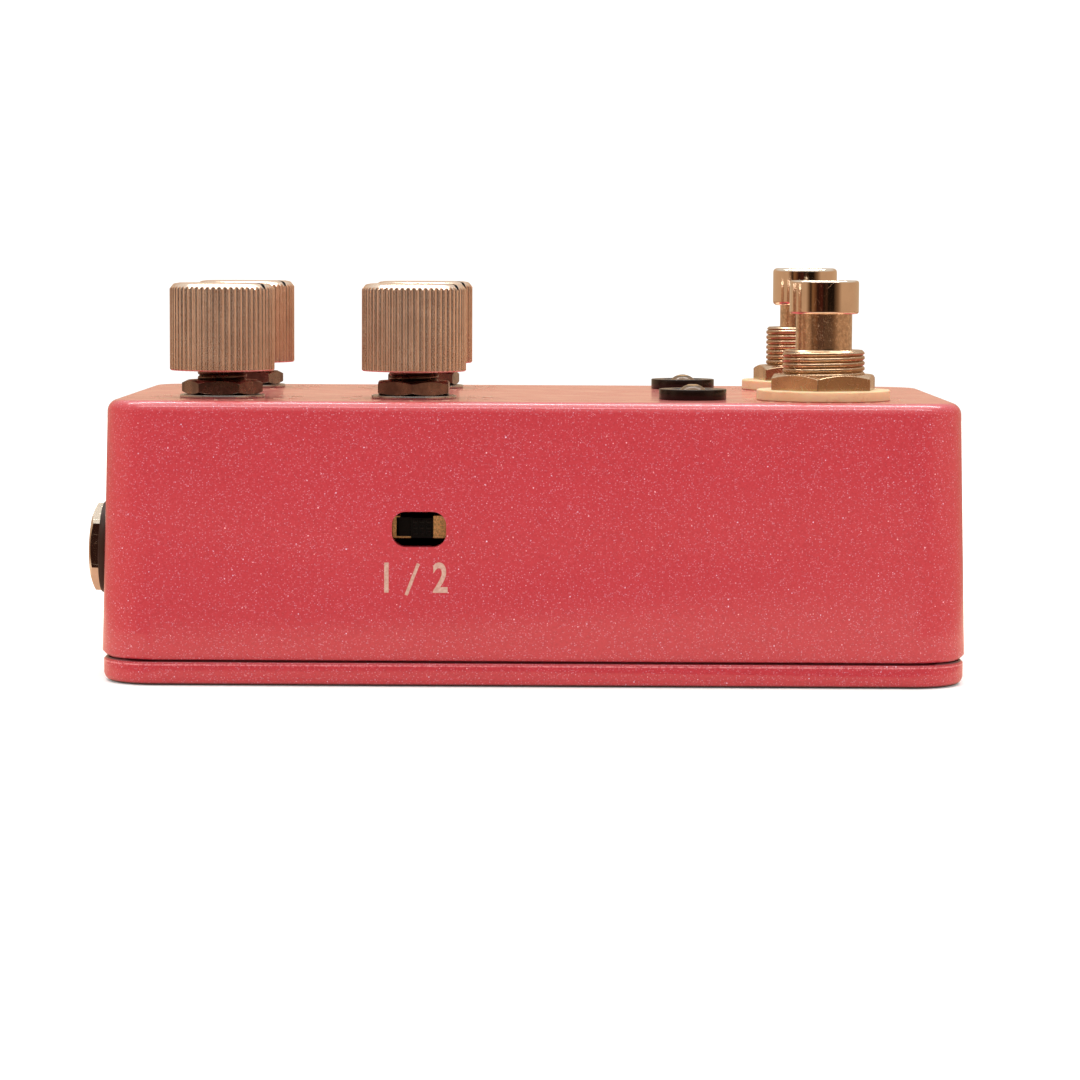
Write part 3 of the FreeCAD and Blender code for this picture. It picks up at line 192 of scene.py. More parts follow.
def add_panel(name, spot, width, height, power, color=(1, 1, 1), mirrored=False, lighting=True):
    """A soft light panel that faces the object, and may show in the metal, or only there."""
    data = bpy.data.lights.new(name, "AREA")
    data.shape = "RECTANGLE"
    data.size = width
    data.size_y = height
    data.energy = power
    data.color = color
    panel = add_object(name, data)
    panel.visible_glossy = mirrored
    panel.visible_diffuse = lighting
    aim = Vector((0, 0, 0.02)) - Vector(spot)
    panel.matrix_world = Matrix.Translation(spot) @ aim.to_track_quat("-Z", "Y").to_matrix().to_4x4()


add_panel("overhead_panel", (0.0, 0.1, 1.1), 1.4, 1.2, 12, (1, 0.99, 0.97), True)
add_panel("upper_strip", (0.0, 0.31, 0.95), 1.5, 0.09, 9.0, (1, 0.95, 0.97), True, False)
add_panel("lower_strip", (0.0, -0.46, 0.92), 1.5, 0.08, 4.5, (1, 0.95, 0.97), True, False)
add_panel("shoulder_panel", (-0.25, -0.8, 0.85), 0.9, 0.5, 2.5)
add_panel("left_panel", (-1.1, -0.1, 0.45), 0.5, 0.7, 1.5, (1, 0.95, 0.9))
add_panel("right_panel", (1.1, -0.1, 0.45), 0.5, 0.7, 1.5, (1, 0.95, 0.9))


# The case is one aluminium die casting, drafted so that it leaves the mould, drilled on top and at
# the end, milled for the slide switch, and sprayed in a coral red full of pale metal flakes. The
# flat lid below it is cast and sprayed the same way.
mm = 0.001


def shaped_copy(node, name, sharp=30):
    """A copy of a node's own mesh, welded and shaded smooth, to dress in its place."""
    shape = bmesh.new()
    shape.from_mesh(nodes[node].data)
    bmesh.ops.remove_doubles(shape, verts=shape.verts, dist=0.0001 * mm)
    return add_piece(shape, name, sharp, scale=1)


def add_piece(shape, name, sharp=30, scale=mm):
    """Makes a shape an object in metres, its edges sharp or smooth and its broad faces kept flat."""
    bmesh.ops.scale(shape, verts=shape.verts, vec=(scale, scale, scale))
    mesh = bpy.data.meshes.new(name)
    shape.to_mesh(mesh)
    shape.free()
    mesh.shade_smooth()
    mesh.set_sharp_from_angle(angle=radians(sharp))
    piece = add_object(name, mesh)
    piece.modifiers.new("broad_faces", "WEIGHTED_NORMAL").keep_sharp = True
    return piece


def dress(piece, material, body, stands_for=()):
    """Gives a piece its material and its body, and hides what it stands for."""
    piece.data.materials.clear()
    piece.data.materials.append(material)
    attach(piece, body)
    if stands_for:
        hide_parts(*stands_for)
    return piece


def dress_copy(node, name, material, body):
    """Dresses a copy of a node's own mesh, and hides the node."""
    return dress(shaped_copy(node, name), material, body, [node])


def new_material(name, color=(0.8, 0.8, 0.8, 1), **sockets):
    """A material whose shader sockets hold plain values; words joined by _ name a socket."""
    material = bpy.data.materials.new(name)
    material.use_nodes = True
    shader = material.node_tree.nodes["Principled BSDF"]
    shader.inputs["Base Color"].default_value = color
    for socket, value in sockets.items():
        shader.inputs[socket.replace("_", " ")].default_value = value
    return material, material.node_tree, shader


def add_noise(tree, scale, detail=2.0, roughness=0.5):
    """Noise fixed to the object, as a value round a half."""
    place = add_node(tree, "ShaderNodeTexCoord").outputs["Object"]
    inputs = {"Vector": place, "Scale": scale, "Detail": detail, "Roughness": roughness}
    return add_node(tree, "ShaderNodeTexNoise", inputs).outputs["Fac"]


def add_relief(tree, shader, height, strength, depth, invert=False):
    """Bumps the surface of a shader by a height."""
    inputs = {"Height": height, "Strength": strength, "Distance": depth}
    bump = add_node(tree, "ShaderNodeBump", inputs, invert=invert)
    tree.links.new(bump.outputs[0], shader.inputs["Normal"])


sparkle_paint, tree, shader = new_material("sparkle_paint", Roughness=0.5, Specular_IOR_Level=0.3,
                                           Coat_Weight=0.75, Coat_Roughness=0.09, Coat_IOR=1.5)
place = add_node(tree, "ShaderNodeTexCoord").outputs["Object"]
smooth_red = blend_colors(tree, add_noise(tree, 60.0, 3.0), from_rgb(188, 50, 59), from_rgb(195, 56, 66))
grit = add_noise(tree, 3200.0)
painted = blend_colors(tree, remap(tree, grit, 0.55, 0.3, 0.0, 0.3), smooth_red, from_rgb(150, 34, 44))
# Three sizes of pale metal flake, their sparkle painted into the colour as glints: cell in millimetres, dot
# edge and heart as shares of the cell, share of the cells that stay dark, and how brightly the others shine.
flake_sizes = [(0.2, 0.6, 0.2, 0.6, 0.28), (0.5, 0.18, 0.1, 0.86, 1.0), (1.3, 0.095, 0.06, 0.45, 1.0)]
pink_flake = from_rgb(255, 190, 190)
violet_flake = from_rgb(232, 222, 255)
for cell, edge, heart, dark_cells, brightness in flake_sizes:
    flakes = add_node(tree, "ShaderNodeTexVoronoi", {"Vector": place, "Scale": 1 / (cell * mm)})
    chance = add_node(tree, "ShaderNodeSeparateColor", {0: flakes.outputs["Color"]})
    dot = remap(tree, flakes.outputs["Distance"], edge, heart, smooth=True)
    lit = remap(tree, chance.outputs["Red"], dark_cells, 1.0, 0.0, brightness)
    flake_color = blend_colors(tree, chance.outputs["Blue"], pink_flake, violet_flake)
    painted = blend_colors(tree, calculate(tree, "MULTIPLY", dot, lit), painted, flake_color)
# The seam over the lid is painted dark as shade in the gap, the lid's edge below it has a pale painted
# highlight, and its foot is painted dark as a contact shadow.
highlight_edge_drop = 0.52 * mm
seam, case_roof = (corner.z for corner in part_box("enclosure_body"))
level = add_node(tree, "ShaderNodeSeparateXYZ", {0: place}).outputs["Z"]
from_seam = calculate(tree, "ABSOLUTE", calculate(tree, "SUBTRACT", level, seam))
from_edge = calculate(tree, "ABSOLUTE", calculate(tree, "SUBTRACT", level, seam - highlight_edge_drop))
edge_highlight = calculate(tree, "MULTIPLY", remap(tree, from_edge, 0.14 * mm, 0.06 * mm),
                 remap(tree, grit, 0.4, 0.6, 0.1, 0.5))
painted = blend_colors(tree, edge_highlight, painted, from_rgb(255, 176, 180))
seam_shade = remap(tree, from_seam, 0.24 * mm, 0.12 * mm, 0.0, 0.9)
painted = blend_colors(tree, seam_shade, painted, from_rgb(44, 8, 12))
foot_shadow = remap(tree, level, 0.48 * mm, 0.26 * mm, 0.0, 0.92)
painted = blend_colors(tree, foot_shadow, painted, from_rgb(42, 34, 34))
# A pale film on the flat top, painted only where it is seen at a low angle, stands for dust and for a painted
# grazing sheen.
on_top = remap(tree, level, case_roof - 0.25 * mm, case_roof - 0.05 * mm)
slant = add_node(tree, "ShaderNodeLayerWeight", {"Blend": 0.5}).outputs["Facing"]
low_angle = calculate(tree, "MULTIPLY", remap(tree, slant, 0.7, 0.95), on_top)
film = remap(tree, add_noise(tree, 180.0, 5.0, 0.65), 0.35, 0.65, 0.15, 0.5)
dust_and_sheen = calculate(tree, "MULTIPLY", low_angle, film)
painted = blend_colors(tree, dust_and_sheen, painted, from_rgb(232, 172, 146))
tree.links.new(painted, shader.inputs["Base Color"])
add_relief(tree, shader, add_noise(tree, 420.0), 0.05, 0.2 * mm)

dress_copy("enclosure_body", "painted_case", sparkle_paint, "enclosure")
dress_copy("bottom_lid", "painted_lid", sparkle_paint, "enclosure")


# The marks on the case are cream screen print under the clear coat: a plain scale round each knob
# with its lowest and highest number, a ring round each stomp switch, and the slide switch's numbers.
cream_ink, tree, shader = new_material("cream_ink", Roughness=0.5, Coat_Weight=0.75, Coat_Roughness=0.09,
                                       Coat_IOR=1.5)
place = add_node(tree, "ShaderNodeTexCoord").outputs["Object"]
ink_share = remap(tree, add_noise(tree, 2500.0), 0.35, 0.65)
ink = blend_colors(tree, ink_share, from_rgb(192, 146, 130), from_rgb(210, 172, 155))
# Dust pales the print on top.
level = add_node(tree, "ShaderNodeSeparateXYZ", {0: place}).outputs["Z"]
ink = blend_colors(tree, remap(tree, level, case_roof - mm, case_roof), ink, from_rgb(242, 212, 184))
tree.links.new(ink, shader.inputs["Base Color"])
print_thickness = 0.05
case_top = case_roof / mm
print_level = case_top + print_thickness / 2
knob_names = ("time", "repeats", "mix", "tone")
stomp_names = ("tap", "bypass")


def box_of(node):
    """The low and the high corner of a node's box, in millimetres."""
    return [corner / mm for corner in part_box(node)]


def middle_of(node):
    """The middle of a node's box, in millimetres."""
    low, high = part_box(node)
    return (low + high) / 2 / mm


def printed_text(words, height, spot, turn=Matrix(), squeeze=1.0, boldness=0.0):
    """Flat numbers of the given height as a thin shape, centred on their spot."""
    curve = bpy.data.curves.new(words, "FONT")
    curve.body = words
    curve.align_x = "CENTER"
    curve.align_y = "CENTER"
    capital_height = 0.73
    curve.size = height / capital_height
    curve.extrude = print_thickness / 2
    curve.offset = boldness
    letters = add_object(words, curve)
    bpy.context.view_layer.update()
    mesh = bpy.data.meshes.new_from_object(letters)
    shape = bmesh.new()
    shape.from_mesh(mesh)
    bpy.data.objects.remove(letters)
    bpy.data.curves.remove(curve)
    bpy.data.meshes.remove(mesh)
    bmesh.ops.scale(shape, verts=shape.verts, vec=(squeeze, 1, 1))
    bmesh.ops.transform(shape, matrix=Matrix.Translation(spot) @ turn, verts=shape.verts)
    return shape


def printed_bar(length, width, spot, turn):
    """A thin printed stroke along its own X."""
    shape = bmesh.new()
    bmesh.ops.create_cube(shape, size=1)
    bmesh.ops.scale(shape, verts=shape.verts, vec=(length, width, print_thickness))
    bmesh.ops.transform(shape, matrix=Matrix.Translation(spot) @ turn, verts=shape.verts)
    return shape


def ring_spot(middle, radius, angle):
    """A spot in the print on top, on a ring round a middle."""
    return Vector((middle.x + radius * cos(angle), middle.y + radius * sin(angle), print_level))


def join_shapes(shapes):
    """Puts several shapes into one."""
    joined = bmesh.new()
    for shape in shapes:
        mesh = bpy.data.meshes.new("part")
        shape.to_mesh(mesh)
        shape.free()
        joined.from_mesh(mesh)
        bpy.data.meshes.remove(mesh)
    return joined


tick_radius = 9.6
tick_length = 1.3
tick_width = 0.4
tick_count = 11
turn_range = 300
number_radius = 11.0
number_height = 1.6
number_share = 0.55
ring_radius = 11
ring_dots = 24
dot_size = 0.5
# The player stands at the right-hand end, so the gap of each scale faces that way.
gap_half = radians(360 - turn_range) / 2
to_player = Matrix.Rotation(pi / 2, 4, "Z")
top_marks = []
for name in knob_names:
    knob_middle = middle_of(name + "_knob")
    for step in range(tick_count):
        angle = -gap_half - radians(turn_range) * step / (tick_count - 1)
        spot = ring_spot(knob_middle, tick_radius, angle)
        top_marks.append(printed_bar(tick_length, tick_width, spot, Matrix.Rotation(angle, 4, "Z")))
    for number, side in (("0", -1), ("10", 1)):
        spot = ring_spot(knob_middle, number_radius, side * gap_half * number_share)
        top_marks.append(printed_text(number, number_height, spot, to_player))
for name in stomp_names:
    stomp_middle = middle_of(name + "_button")
    for step in range(ring_dots):
        angle = 2 * pi * step / ring_dots
        spot = ring_spot(stomp_middle, ring_radius, angle)
        top_marks.append(printed_bar(dot_size, dot_size, spot, Matrix.Rotation(angle, 4, "Z")))
dress(add_piece(join_shapes(top_marks), "top_print"), cream_ink, "enclosure")

case_low = box_of("enclosure_body")[0]
case_draft = radians(1.5)
label_height = 15.1
label_x = -16.85
label_size = 4.2
label_squeeze = 0.75
label_boldness = 0.13
slash_length = 4.75
slash_width = 0.46
slash_slope = radians(69)
wall_y = case_low.y + (label_height - case_low.z) * tan(case_draft) - print_thickness / 2
upright = Matrix.Rotation(pi / 2 - case_draft, 4, "X")
side_marks = [printed_text(number, label_size, Vector((label_x + reach, wall_y, label_height)), upright,
                           label_squeeze, label_boldness) for number, reach in (("1", -3.6), ("2", 3.9))]
side_marks.append(printed_bar(slash_length, slash_width, Vector((label_x, wall_y, label_height)),
                              upright @ Matrix.Rotation(slash_slope, 4, "Z")))
dress(add_piece(join_shapes(side_marks), "side_print"), cream_ink, "enclosure")


# Four countersunk steel screws hold the lid. Each has a cross recess in its head and a rolled
# thread, and turns into a boss cast in a corner of the case.
def effect_group(name, input_names, output_names):
    """An empty node group with numbers for inputs and outputs."""
    group = bpy.data.node_groups.new(name, "ShaderNodeTree")
    for label in input_names:
        group.interface.new_socket(label, in_out="INPUT", socket_type="NodeSocketFloat")
    for label in output_names:
        group.interface.new_socket(label, in_out="OUTPUT", socket_type="NodeSocketFloat")
    return group, add_node(group, "NodeGroupInput"), add_node(group, "NodeGroupOutput")


# Hairline scratches and cloudy handling marks, shared by every metal here.
fine_wear, given, result = effect_group("fine_wear", ["Density"], ["Clouds", "Scratches"])
place = add_node(fine_wear, "ShaderNodeTexCoord").outputs["Object"]
handled = add_noise(fine_wear, given.outputs["Density"], 5.0, 0.65)
hair_density = calculate(fine_wear, "MULTIPLY", given.outputs["Density"], 0.8)
hair_noise = add_node(fine_wear, "ShaderNodeTexNoise", {"Vector": place, "Scale": hair_density, "Detail": 1.0,
                                                        "Distortion": 1.5})
off_middle = calculate(fine_wear, "SUBTRACT", hair_noise.outputs["Fac"], 0.5)
from_middle = calculate(fine_wear, "ABSOLUTE", off_middle)
hair_line = remap(fine_wear, from_middle, 0.007, 0.0)
worn_patch = remap(fine_wear, handled, 0.48, 0.62)
fine_wear.links.new(handled, result.inputs["Clouds"])
fine_wear.links.new(calculate(fine_wear, "MULTIPLY", hair_line, worn_patch), result.inputs["Scratches"])


def metal(name, color, roughness, density=350.0, scratch=0.3, shade=0.75, metallic=1.0):
    """A plated or turned metal with cloudy tone and hairline scratches."""
    material, tree, shader = new_material(name, color, Metallic=metallic)
    wear = add_node(tree, "ShaderNodeGroup", {"Density": density}, node_tree=fine_wear)
    clouds, scratches = wear.outputs["Clouds"], wear.outputs["Scratches"]
    darker = [channel * shade for channel in color[:3]] + [1.0]
    cloud_share = remap(tree, clouds, 0.35, 0.65)
    tree.links.new(blend_colors(tree, cloud_share, darker, color), shader.inputs["Base Color"])
    dulled = remap(tree, clouds, 0.35, 0.65, roughness * 1.25, roughness * 0.85)
    scratched = calculate(tree, "ADD", dulled, calculate(tree, "MULTIPLY", scratches, scratch))
    tree.links.new(scratched, shader.inputs["Roughness"])
    add_relief(tree, shader, scratches, scratch, 0.02 * mm, invert=True)
    return material


def extruded_ring(shape, edges, place_point):
    """Extrudes a ring of edges once, sends each new point to its place, and gives the new edges."""
    grown = bmesh.ops.extrude_edge_only(shape, edges=edges)["geom"]
    for point in grown:
        if isinstance(point, bmesh.types.BMVert):
            place_point(point)
    return [edge for edge in grown if isinstance(edge, bmesh.types.BMEdge)]


def cut_off(shape, spot, way):
    """Cuts off what lies past a plane, and gives the edges of the cut."""
    cut = bmesh.ops.bisect_plane(shape, geom=shape.verts[:] + shape.edges[:] + shape.faces[:],
                                 dist=0.0001, plane_co=spot, plane_no=way, clear_outer=True)
    return [item for item in cut["geom_cut"] if isinstance(item, bmesh.types.BMEdge)]


def turned(profile, segments=96):
    """Spins a line of radius and height points round the upright axis, as a lathe cuts a bar."""
    shape = bmesh.new()
    points = [shape.verts.new((radius, 0, height)) for radius, height in profile]
    lines = [shape.edges.new(pair) for pair in zip(points, points[1:])]
    bmesh.ops.spin(shape, geom=points + lines, cent=(0, 0, 0), axis=(0, 0, 1), angle=2 * pi,
                   steps=segments, use_merge=True)
    bmesh.ops.remove_doubles(shape, verts=shape.verts, dist=0.0005)
    bmesh.ops.recalc_face_normals(shape, faces=shape.faces)
    return shape


def soften(shape, width, angle=25, segments=2):
    """Rounds every edge that turns by more than an angle."""
    edges = [edge for edge in shape.edges if len(edge.link_faces) == 2
             and edge.calc_face_angle() > radians(angle)]
    bmesh.ops.bevel(shape, geom=edges, offset=width, affect="EDGES", segments=segments, profile=0.5,
                    material=-1, clamp_overlap=True)
    return shape


def threaded(radius, bore, low, high, pitch, lead=0.3, segments=64):
    """A sleeve with a round-crested thread outside, a plain bore and a chamfer at its upper end."""
    depth = 0.4 * pitch
    ridge = [(0.0, 0.0), (0.07, 0.25), (0.2, 0.72), (0.34, 0.94), (0.5, 1.0), (0.66, 0.94), (0.8, 0.72),
             (0.93, 0.25), (1.0, 0.0)]
    shape = bmesh.new()
    points = [shape.verts.new((radius - depth * (1 - rise), 0, low - pitch + pitch * share))
              for share, rise in ridge]
    lines = [shape.edges.new(pair) for pair in zip(points, points[1:])]
    turns = int((high - low) / pitch) + 3
    bmesh.ops.spin(shape, geom=points + lines, cent=(0, 0, 0), axis=(0, 0, 1), angle=2 * pi * turns,
                   dvec=(0, 0, pitch / segments), steps=segments * turns, use_merge=False)
    bmesh.ops.remove_doubles(shape, verts=shape.verts, dist=0.0005)
    for height, way in ((high, 1), (low, -1)):
        cut_off(shape, (0, 0, height), (0, 0, way))
    for point in shape.verts:
        reach = hypot(point.co.x, point.co.y)
        limit = radius - max(0, point.co.z - (high - lead))
        if reach > limit:
            point.co.x *= limit / reach
            point.co.y *= limit / reach

    def to_bore(point):
        reach = hypot(point.co.x, point.co.y)
        point.co.x *= bore / reach
        point.co.y *= bore / reach

    inner_edges = []
    for height in (high, low):
        rim = [edge for edge in shape.edges if edge.is_boundary
               and all(abs(point.co.z - height) < 0.0005 for point in edge.verts)]
        inner_edges += extruded_ring(shape, rim, to_bore)
    bmesh.ops.bridge_loops(shape, edges=inner_edges)
    bmesh.ops.recalc_face_normals(shape, faces=shape.faces)
    return shape


def box_shape(low, high):
    """A block between two corners."""
    shape = bmesh.new()
    bmesh.ops.create_cube(shape, size=1)
    bmesh.ops.scale(shape, verts=shape.verts, vec=[top - bottom for bottom, top in zip(low, high)])
    bmesh.ops.translate(shape, verts=shape.verts, vec=[(top + bottom) / 2 for bottom, top in zip(low, high)])
    return shape


def moved(shape, spot, turn=Matrix()):
    """Turns a shape about its own origin and sets it on its spot."""
    bmesh.ops.transform(shape, matrix=Matrix.Translation(spot) @ turn, verts=shape.verts)
    return shape


def carved(shape, tool):
    """Cuts one closed shape out of another."""
    pair = []
    for name, part in (("blank", shape), ("tool", tool)):
        mesh = bpy.data.meshes.new(name)
        part.to_mesh(mesh)
        part.free()
        pair.append(add_object(name, mesh))
    blank, cutter = pair
    cut = blank.modifiers.new("cut", "BOOLEAN")
    cut.operation = "DIFFERENCE"
    cut.object = cutter
    cut.solver = "EXACT"
    evaluated = blank.evaluated_get(bpy.context.evaluated_depsgraph_get())
    result_mesh = bpy.data.meshes.new_from_object(evaluated)
    result = bmesh.new()
    result.from_mesh(result_mesh)
    bpy.data.meshes.remove(result_mesh)
    for item in pair:
        mesh = item.data
        bpy.data.objects.remove(item)
        bpy.data.meshes.remove(mesh)
    return result


def dress_set(shapes, name, material, node):
    """Joins shapes into one piece that is fixed to the case and stands for a node."""
    dress(add_piece(join_shapes(shapes), name), material, "enclosure", [node])


screw_steel = metal("screw_steel", (0.62, 0.6, 0.57, 1), 0.28, 500.0)
screw_low, screw_high = box_of("lid_screws")
screw_head_radius = 3.2
screw_head_height = 1.6
screw_radius = 1.7
screw_length = 11.9
core_end = 11.2
screw_pitch = 0.7
thread_end = 11.4
cross_reach = 1.5
cross_half_width = 0.32
cross_depth = 0.9
core_radius = screw_radius - 0.45
head = turned([(0, 0), (screw_head_radius - 0.15, 0), (screw_head_radius, 0.2),
               (screw_radius, screw_head_height), (core_radius, screw_head_height + 0.3),
               (core_radius, core_end), (0, screw_length)], 48)
recess = join_shapes([box_shape((-x, -y, -1), (x, y, cross_depth)) for x, y in
                      ((cross_reach, cross_half_width), (cross_half_width, cross_reach))])
recess_heart = turned([(0, -0.4), (0.9, -0.4), (0.4, 1.2), (0, 1.5)], 24)
thread = threaded(screw_radius, screw_radius - 0.5, screw_head_height + 0.5, thread_end, screw_pitch,
                  0.5, 32)
screw = join_shapes([carved(carved(head, recess), recess_heart), thread])
screw_shapes = [moved(screw.copy(), (x, y, screw_low.z))
                for x in (screw_low.x + screw_head_radius, screw_high.x - screw_head_radius)
                for y in (screw_low.y + screw_head_radius, screw_high.y - screw_head_radius)]
dress_set(screw_shapes, "lid_screw_set", screw_steel, "lid_screws")


# A rotary pot under each knob: a pressed can with three pins, and a threaded bushing that comes
# through the case. A bright washer and a dark hexagon nut clamp it.
pot_metal = metal("pot_metal", (0.46, 0.42, 0.38, 1), 0.3, 300.0)
dark_nut_metal = metal("dark_nut_metal", (0.28, 0.2, 0.16, 1), 0.27, 420.0, 0.4, 0.5)
washer_metal = metal("washer_metal", (0.6, 0.56, 0.52, 1), 0.26, 400.0)


def whole_copy(node):
    """A node's own mesh as a shape in millimetres."""
    shape = bmesh.new()
    shape.from_mesh(nodes[node].data)
    bmesh.ops.scale(shape, verts=shape.verts, vec=(1 / mm, 1 / mm, 1 / mm))
    bmesh.ops.remove_doubles(shape, verts=shape.verts, dist=0.0001)
    return shape


def cut_copy(node, spot, way=(0, 0, 1)):
    """A node's own mesh, in millimetres, cut off flat past a plane and closed there."""
    shape = whole_copy(node)
    bmesh.ops.bridge_loops(shape, edges=cut_off(shape, spot, way))
    return shape


def axis_of(node):
    """Where the upright axis through a node's middle meets the table, in millimetres."""
    middle = middle_of(node)
    return Vector((middle.x, middle.y, 0))


def hex_nut(flats, height, bore, turn, crown, foot=()):
    """A hexagon nut: a bored blank turned to a crown and a foot, each given as reach and drop from
    the outside in, then cut to six flats."""
    blank = flats / 2 / cos(pi / 6) + 0.1
    outline = [(reach, drop) for reach, drop in reversed(foot)] or [(blank, 0)]
    outline += [(reach, height - drop) for reach, drop in crown]
    shape = turned([(bore, 0)] + outline + [(bore + 0.2, height), (bore, height - 0.2), (bore, 0)])
    for side in range(6):
        angle = turn + side * pi / 3 + pi / 6
        normal = Vector((cos(angle), sin(angle), 0))
        bmesh.ops.edgeloop_fill(shape, edges=cut_off(shape, normal * flats / 2, normal))
    bmesh.ops.recalc_face_normals(shape, faces=shape.faces)
    return soften(shape, 0.05, 12, 1)


pot_bushing_radius = 3.5
pot_pitch = 0.75
shaft_bore = 3.06
pot_nut_flats = 10
pot_nut_crown = [(5.87, 0.5), (4.85, 0)]
pot_nut_foot = [(5.87, 0.4), (4.95, 0)]
pot_washer_bore = 3.55
pot_washer_radius = 6.05
nut_shapes = []
washer_shapes = []
nut_low, nut_high = box_of("pot_nuts")
nut_turns = {"time": 0, "repeats": 12, "mix": 30, "tone": 21}
for name in knob_names:
    node = name + "_pot"
    pot_high = box_of(node)[1]
    axis = axis_of(name + "_knob")
    can = cut_copy(node, (0, 0, case_top - 1))
    bushing = moved(threaded(pot_bushing_radius, shaft_bore, case_top - 1, pot_high.z, pot_pitch), axis)
    dress(add_piece(can, name + "_pot_can"), pot_metal, "enclosure", [node])
    dress(add_piece(bushing, name + "_pot_bushing"), dark_nut_metal, "enclosure", [node])
    nut = hex_nut(pot_nut_flats, nut_high.z - nut_low.z, pot_bushing_radius, radians(nut_turns[name]),
                  pot_nut_crown, pot_nut_foot)
    nut_shapes.append(moved(nut, axis + Vector((0, 0, nut_low.z))))
    washer = turned([(pot_washer_bore, 0.02), (pot_washer_radius, 0), (pot_washer_radius, 0.45),
                     (pot_washer_bore, 0.5), (pot_washer_bore, 0.02)])
    washer_shapes.append(moved(soften(washer, 0.1), axis + Vector((0, 0, case_top))))
dress_set(nut_shapes, "pot_nut_set", dark_nut_metal, "pot_nuts")
dress_set(washer_shapes, "pot_washer_set", washer_metal, "pot_washers")


# The knobs are turned from aluminium bar and clear anodised. A cutter rounds 56 flutes in the side,
# the crown is bevelled and polished, and the pointer line is engraved and filled with black. A
# grub screw behind the pointer clamps each knob to the flat of its shaft.
knob_radius = 7.435
knob_bevel_height = 0.88
knob_bevel_width = 1.4
knob_edge_height = 0.62
knob_edge_width = 0.47
knob_foot_round = 0.18
flute_count = 56
points_per_flute = 12
flute_depth = 0.25
flute_share = 0.42
recess_radius = 6.0
recess_depth = 2.0
bore_depth = 9.86
pointer_angle = radians(-30)
pointer_width = 0.7
pointer_depth = 0.25
pointer_start = 0.2
pointer_end = 3.2
pointer_headroom = 0.8
ink_level = -0.02
grub_height = 5.4
grub_hole_radius = 1.5
grub_hole_length = 8


def at_reach(reach, height):
    """A rule that sends a point straight in or out to a reach from the axis, at a height."""
    def send(point):
        angle = atan2(point.co.y, point.co.x)
        point.co = (cos(angle) * reach, sin(angle) * reach, height)
    return send


def knob_shape(height):
    """One knob on its own axis, with its lower edge at zero."""
    shape = bmesh.new()
    shoulder = height - knob_bevel_height
    edge_slope = knob_edge_height / knob_edge_width
    bmesh.ops.create_circle(shape, segments=flute_count * points_per_flute, radius=knob_radius)
    for point in shape.verts:
        angle = atan2(point.co.y, point.co.x)
        across = abs((angle / (2 * pi) * flute_count + 0.5) % 1 - 0.5) / flute_share
        reach = knob_radius - flute_depth * sqrt(max(0.0, 1 - across ** 2))
        point.co = (cos(angle) * reach, sin(angle) * reach, knob_foot_round)
    foot = shape.edges[:]

    def up_to_crown(point):
        point.co.z = shoulder + (knob_radius - hypot(point.co.x, point.co.y)) * edge_slope

    crown = extruded_ring(shape, foot, up_to_crown)
    bevel_top = knob_radius - knob_bevel_width
    for reach, rise in ((knob_radius - knob_edge_width - 0.05, knob_edge_height + 0.05),
                        (knob_radius - knob_edge_width - 0.3, knob_edge_height + 0.16),
                        (bevel_top + 0.25, knob_bevel_height - 0.04), (bevel_top, knob_bevel_height),
                        (bevel_top - 0.3, knob_bevel_height), (bevel_top / 2, knob_bevel_height)):
        crown = extruded_ring(shape, crown, at_reach(reach, shoulder + rise))
    bmesh.ops.edgeloop_fill(shape, edges=crown)

    def under_foot(point):
        point.co = point.co * (1 - knob_foot_round / knob_radius)
        point.co.z = 0

    inside = extruded_ring(shape, foot, under_foot)
    for reach, rise in ((recess_radius, 0), (recess_radius, recess_depth), (shaft_bore, recess_depth),
                        (shaft_bore, bore_depth)):
        inside = extruded_ring(shape, inside, at_reach(reach, rise))
    bmesh.ops.edgeloop_fill(shape, edges=inside)
    bmesh.ops.recalc_face_normals(shape, faces=shape.faces)
    return shape


def pointer_bar(height, top_level):
    """A bar along the crown of a knob, from its engraved floor up to a level above the surface."""
    shoulder = height - knob_bevel_height
    surface = [(knob_radius - pointer_end, height), (knob_radius - knob_bevel_width, height),
               (knob_radius - knob_edge_width, shoulder + knob_edge_height),
               (knob_radius - pointer_start, shoulder + knob_edge_height * pointer_start / knob_edge_width)]
    outline = [(reach, rise - pointer_depth) for reach, rise in surface]
    outline += [(reach, rise + top_level) for reach, rise in reversed(surface)]
    shape = bmesh.new()
    corners = [shape.verts.new((reach, -pointer_width / 2, rise)) for reach, rise in outline]
    grown = bmesh.ops.extrude_face_region(shape, geom=[shape.faces.new(corners)])["geom"]
    bmesh.ops.translate(shape, vec=(0, pointer_width, 0),
                        verts=[point for point in grown if isinstance(point, bmesh.types.BMVert)])
    bmesh.ops.recalc_face_normals(shape, faces=shape.faces)
    return shape


def keep_reach(piece, axis):
    """Stores how far each point of a turned piece lies from its upright axis, for its material."""
    reaches = [hypot(point.co.x - axis.x * mm, point.co.y - axis.y * mm) for point in piece.data.vertices]
    piece.data.attributes.new("from_axis", "FLOAT", "POINT").data.foreach_set("value", reaches)


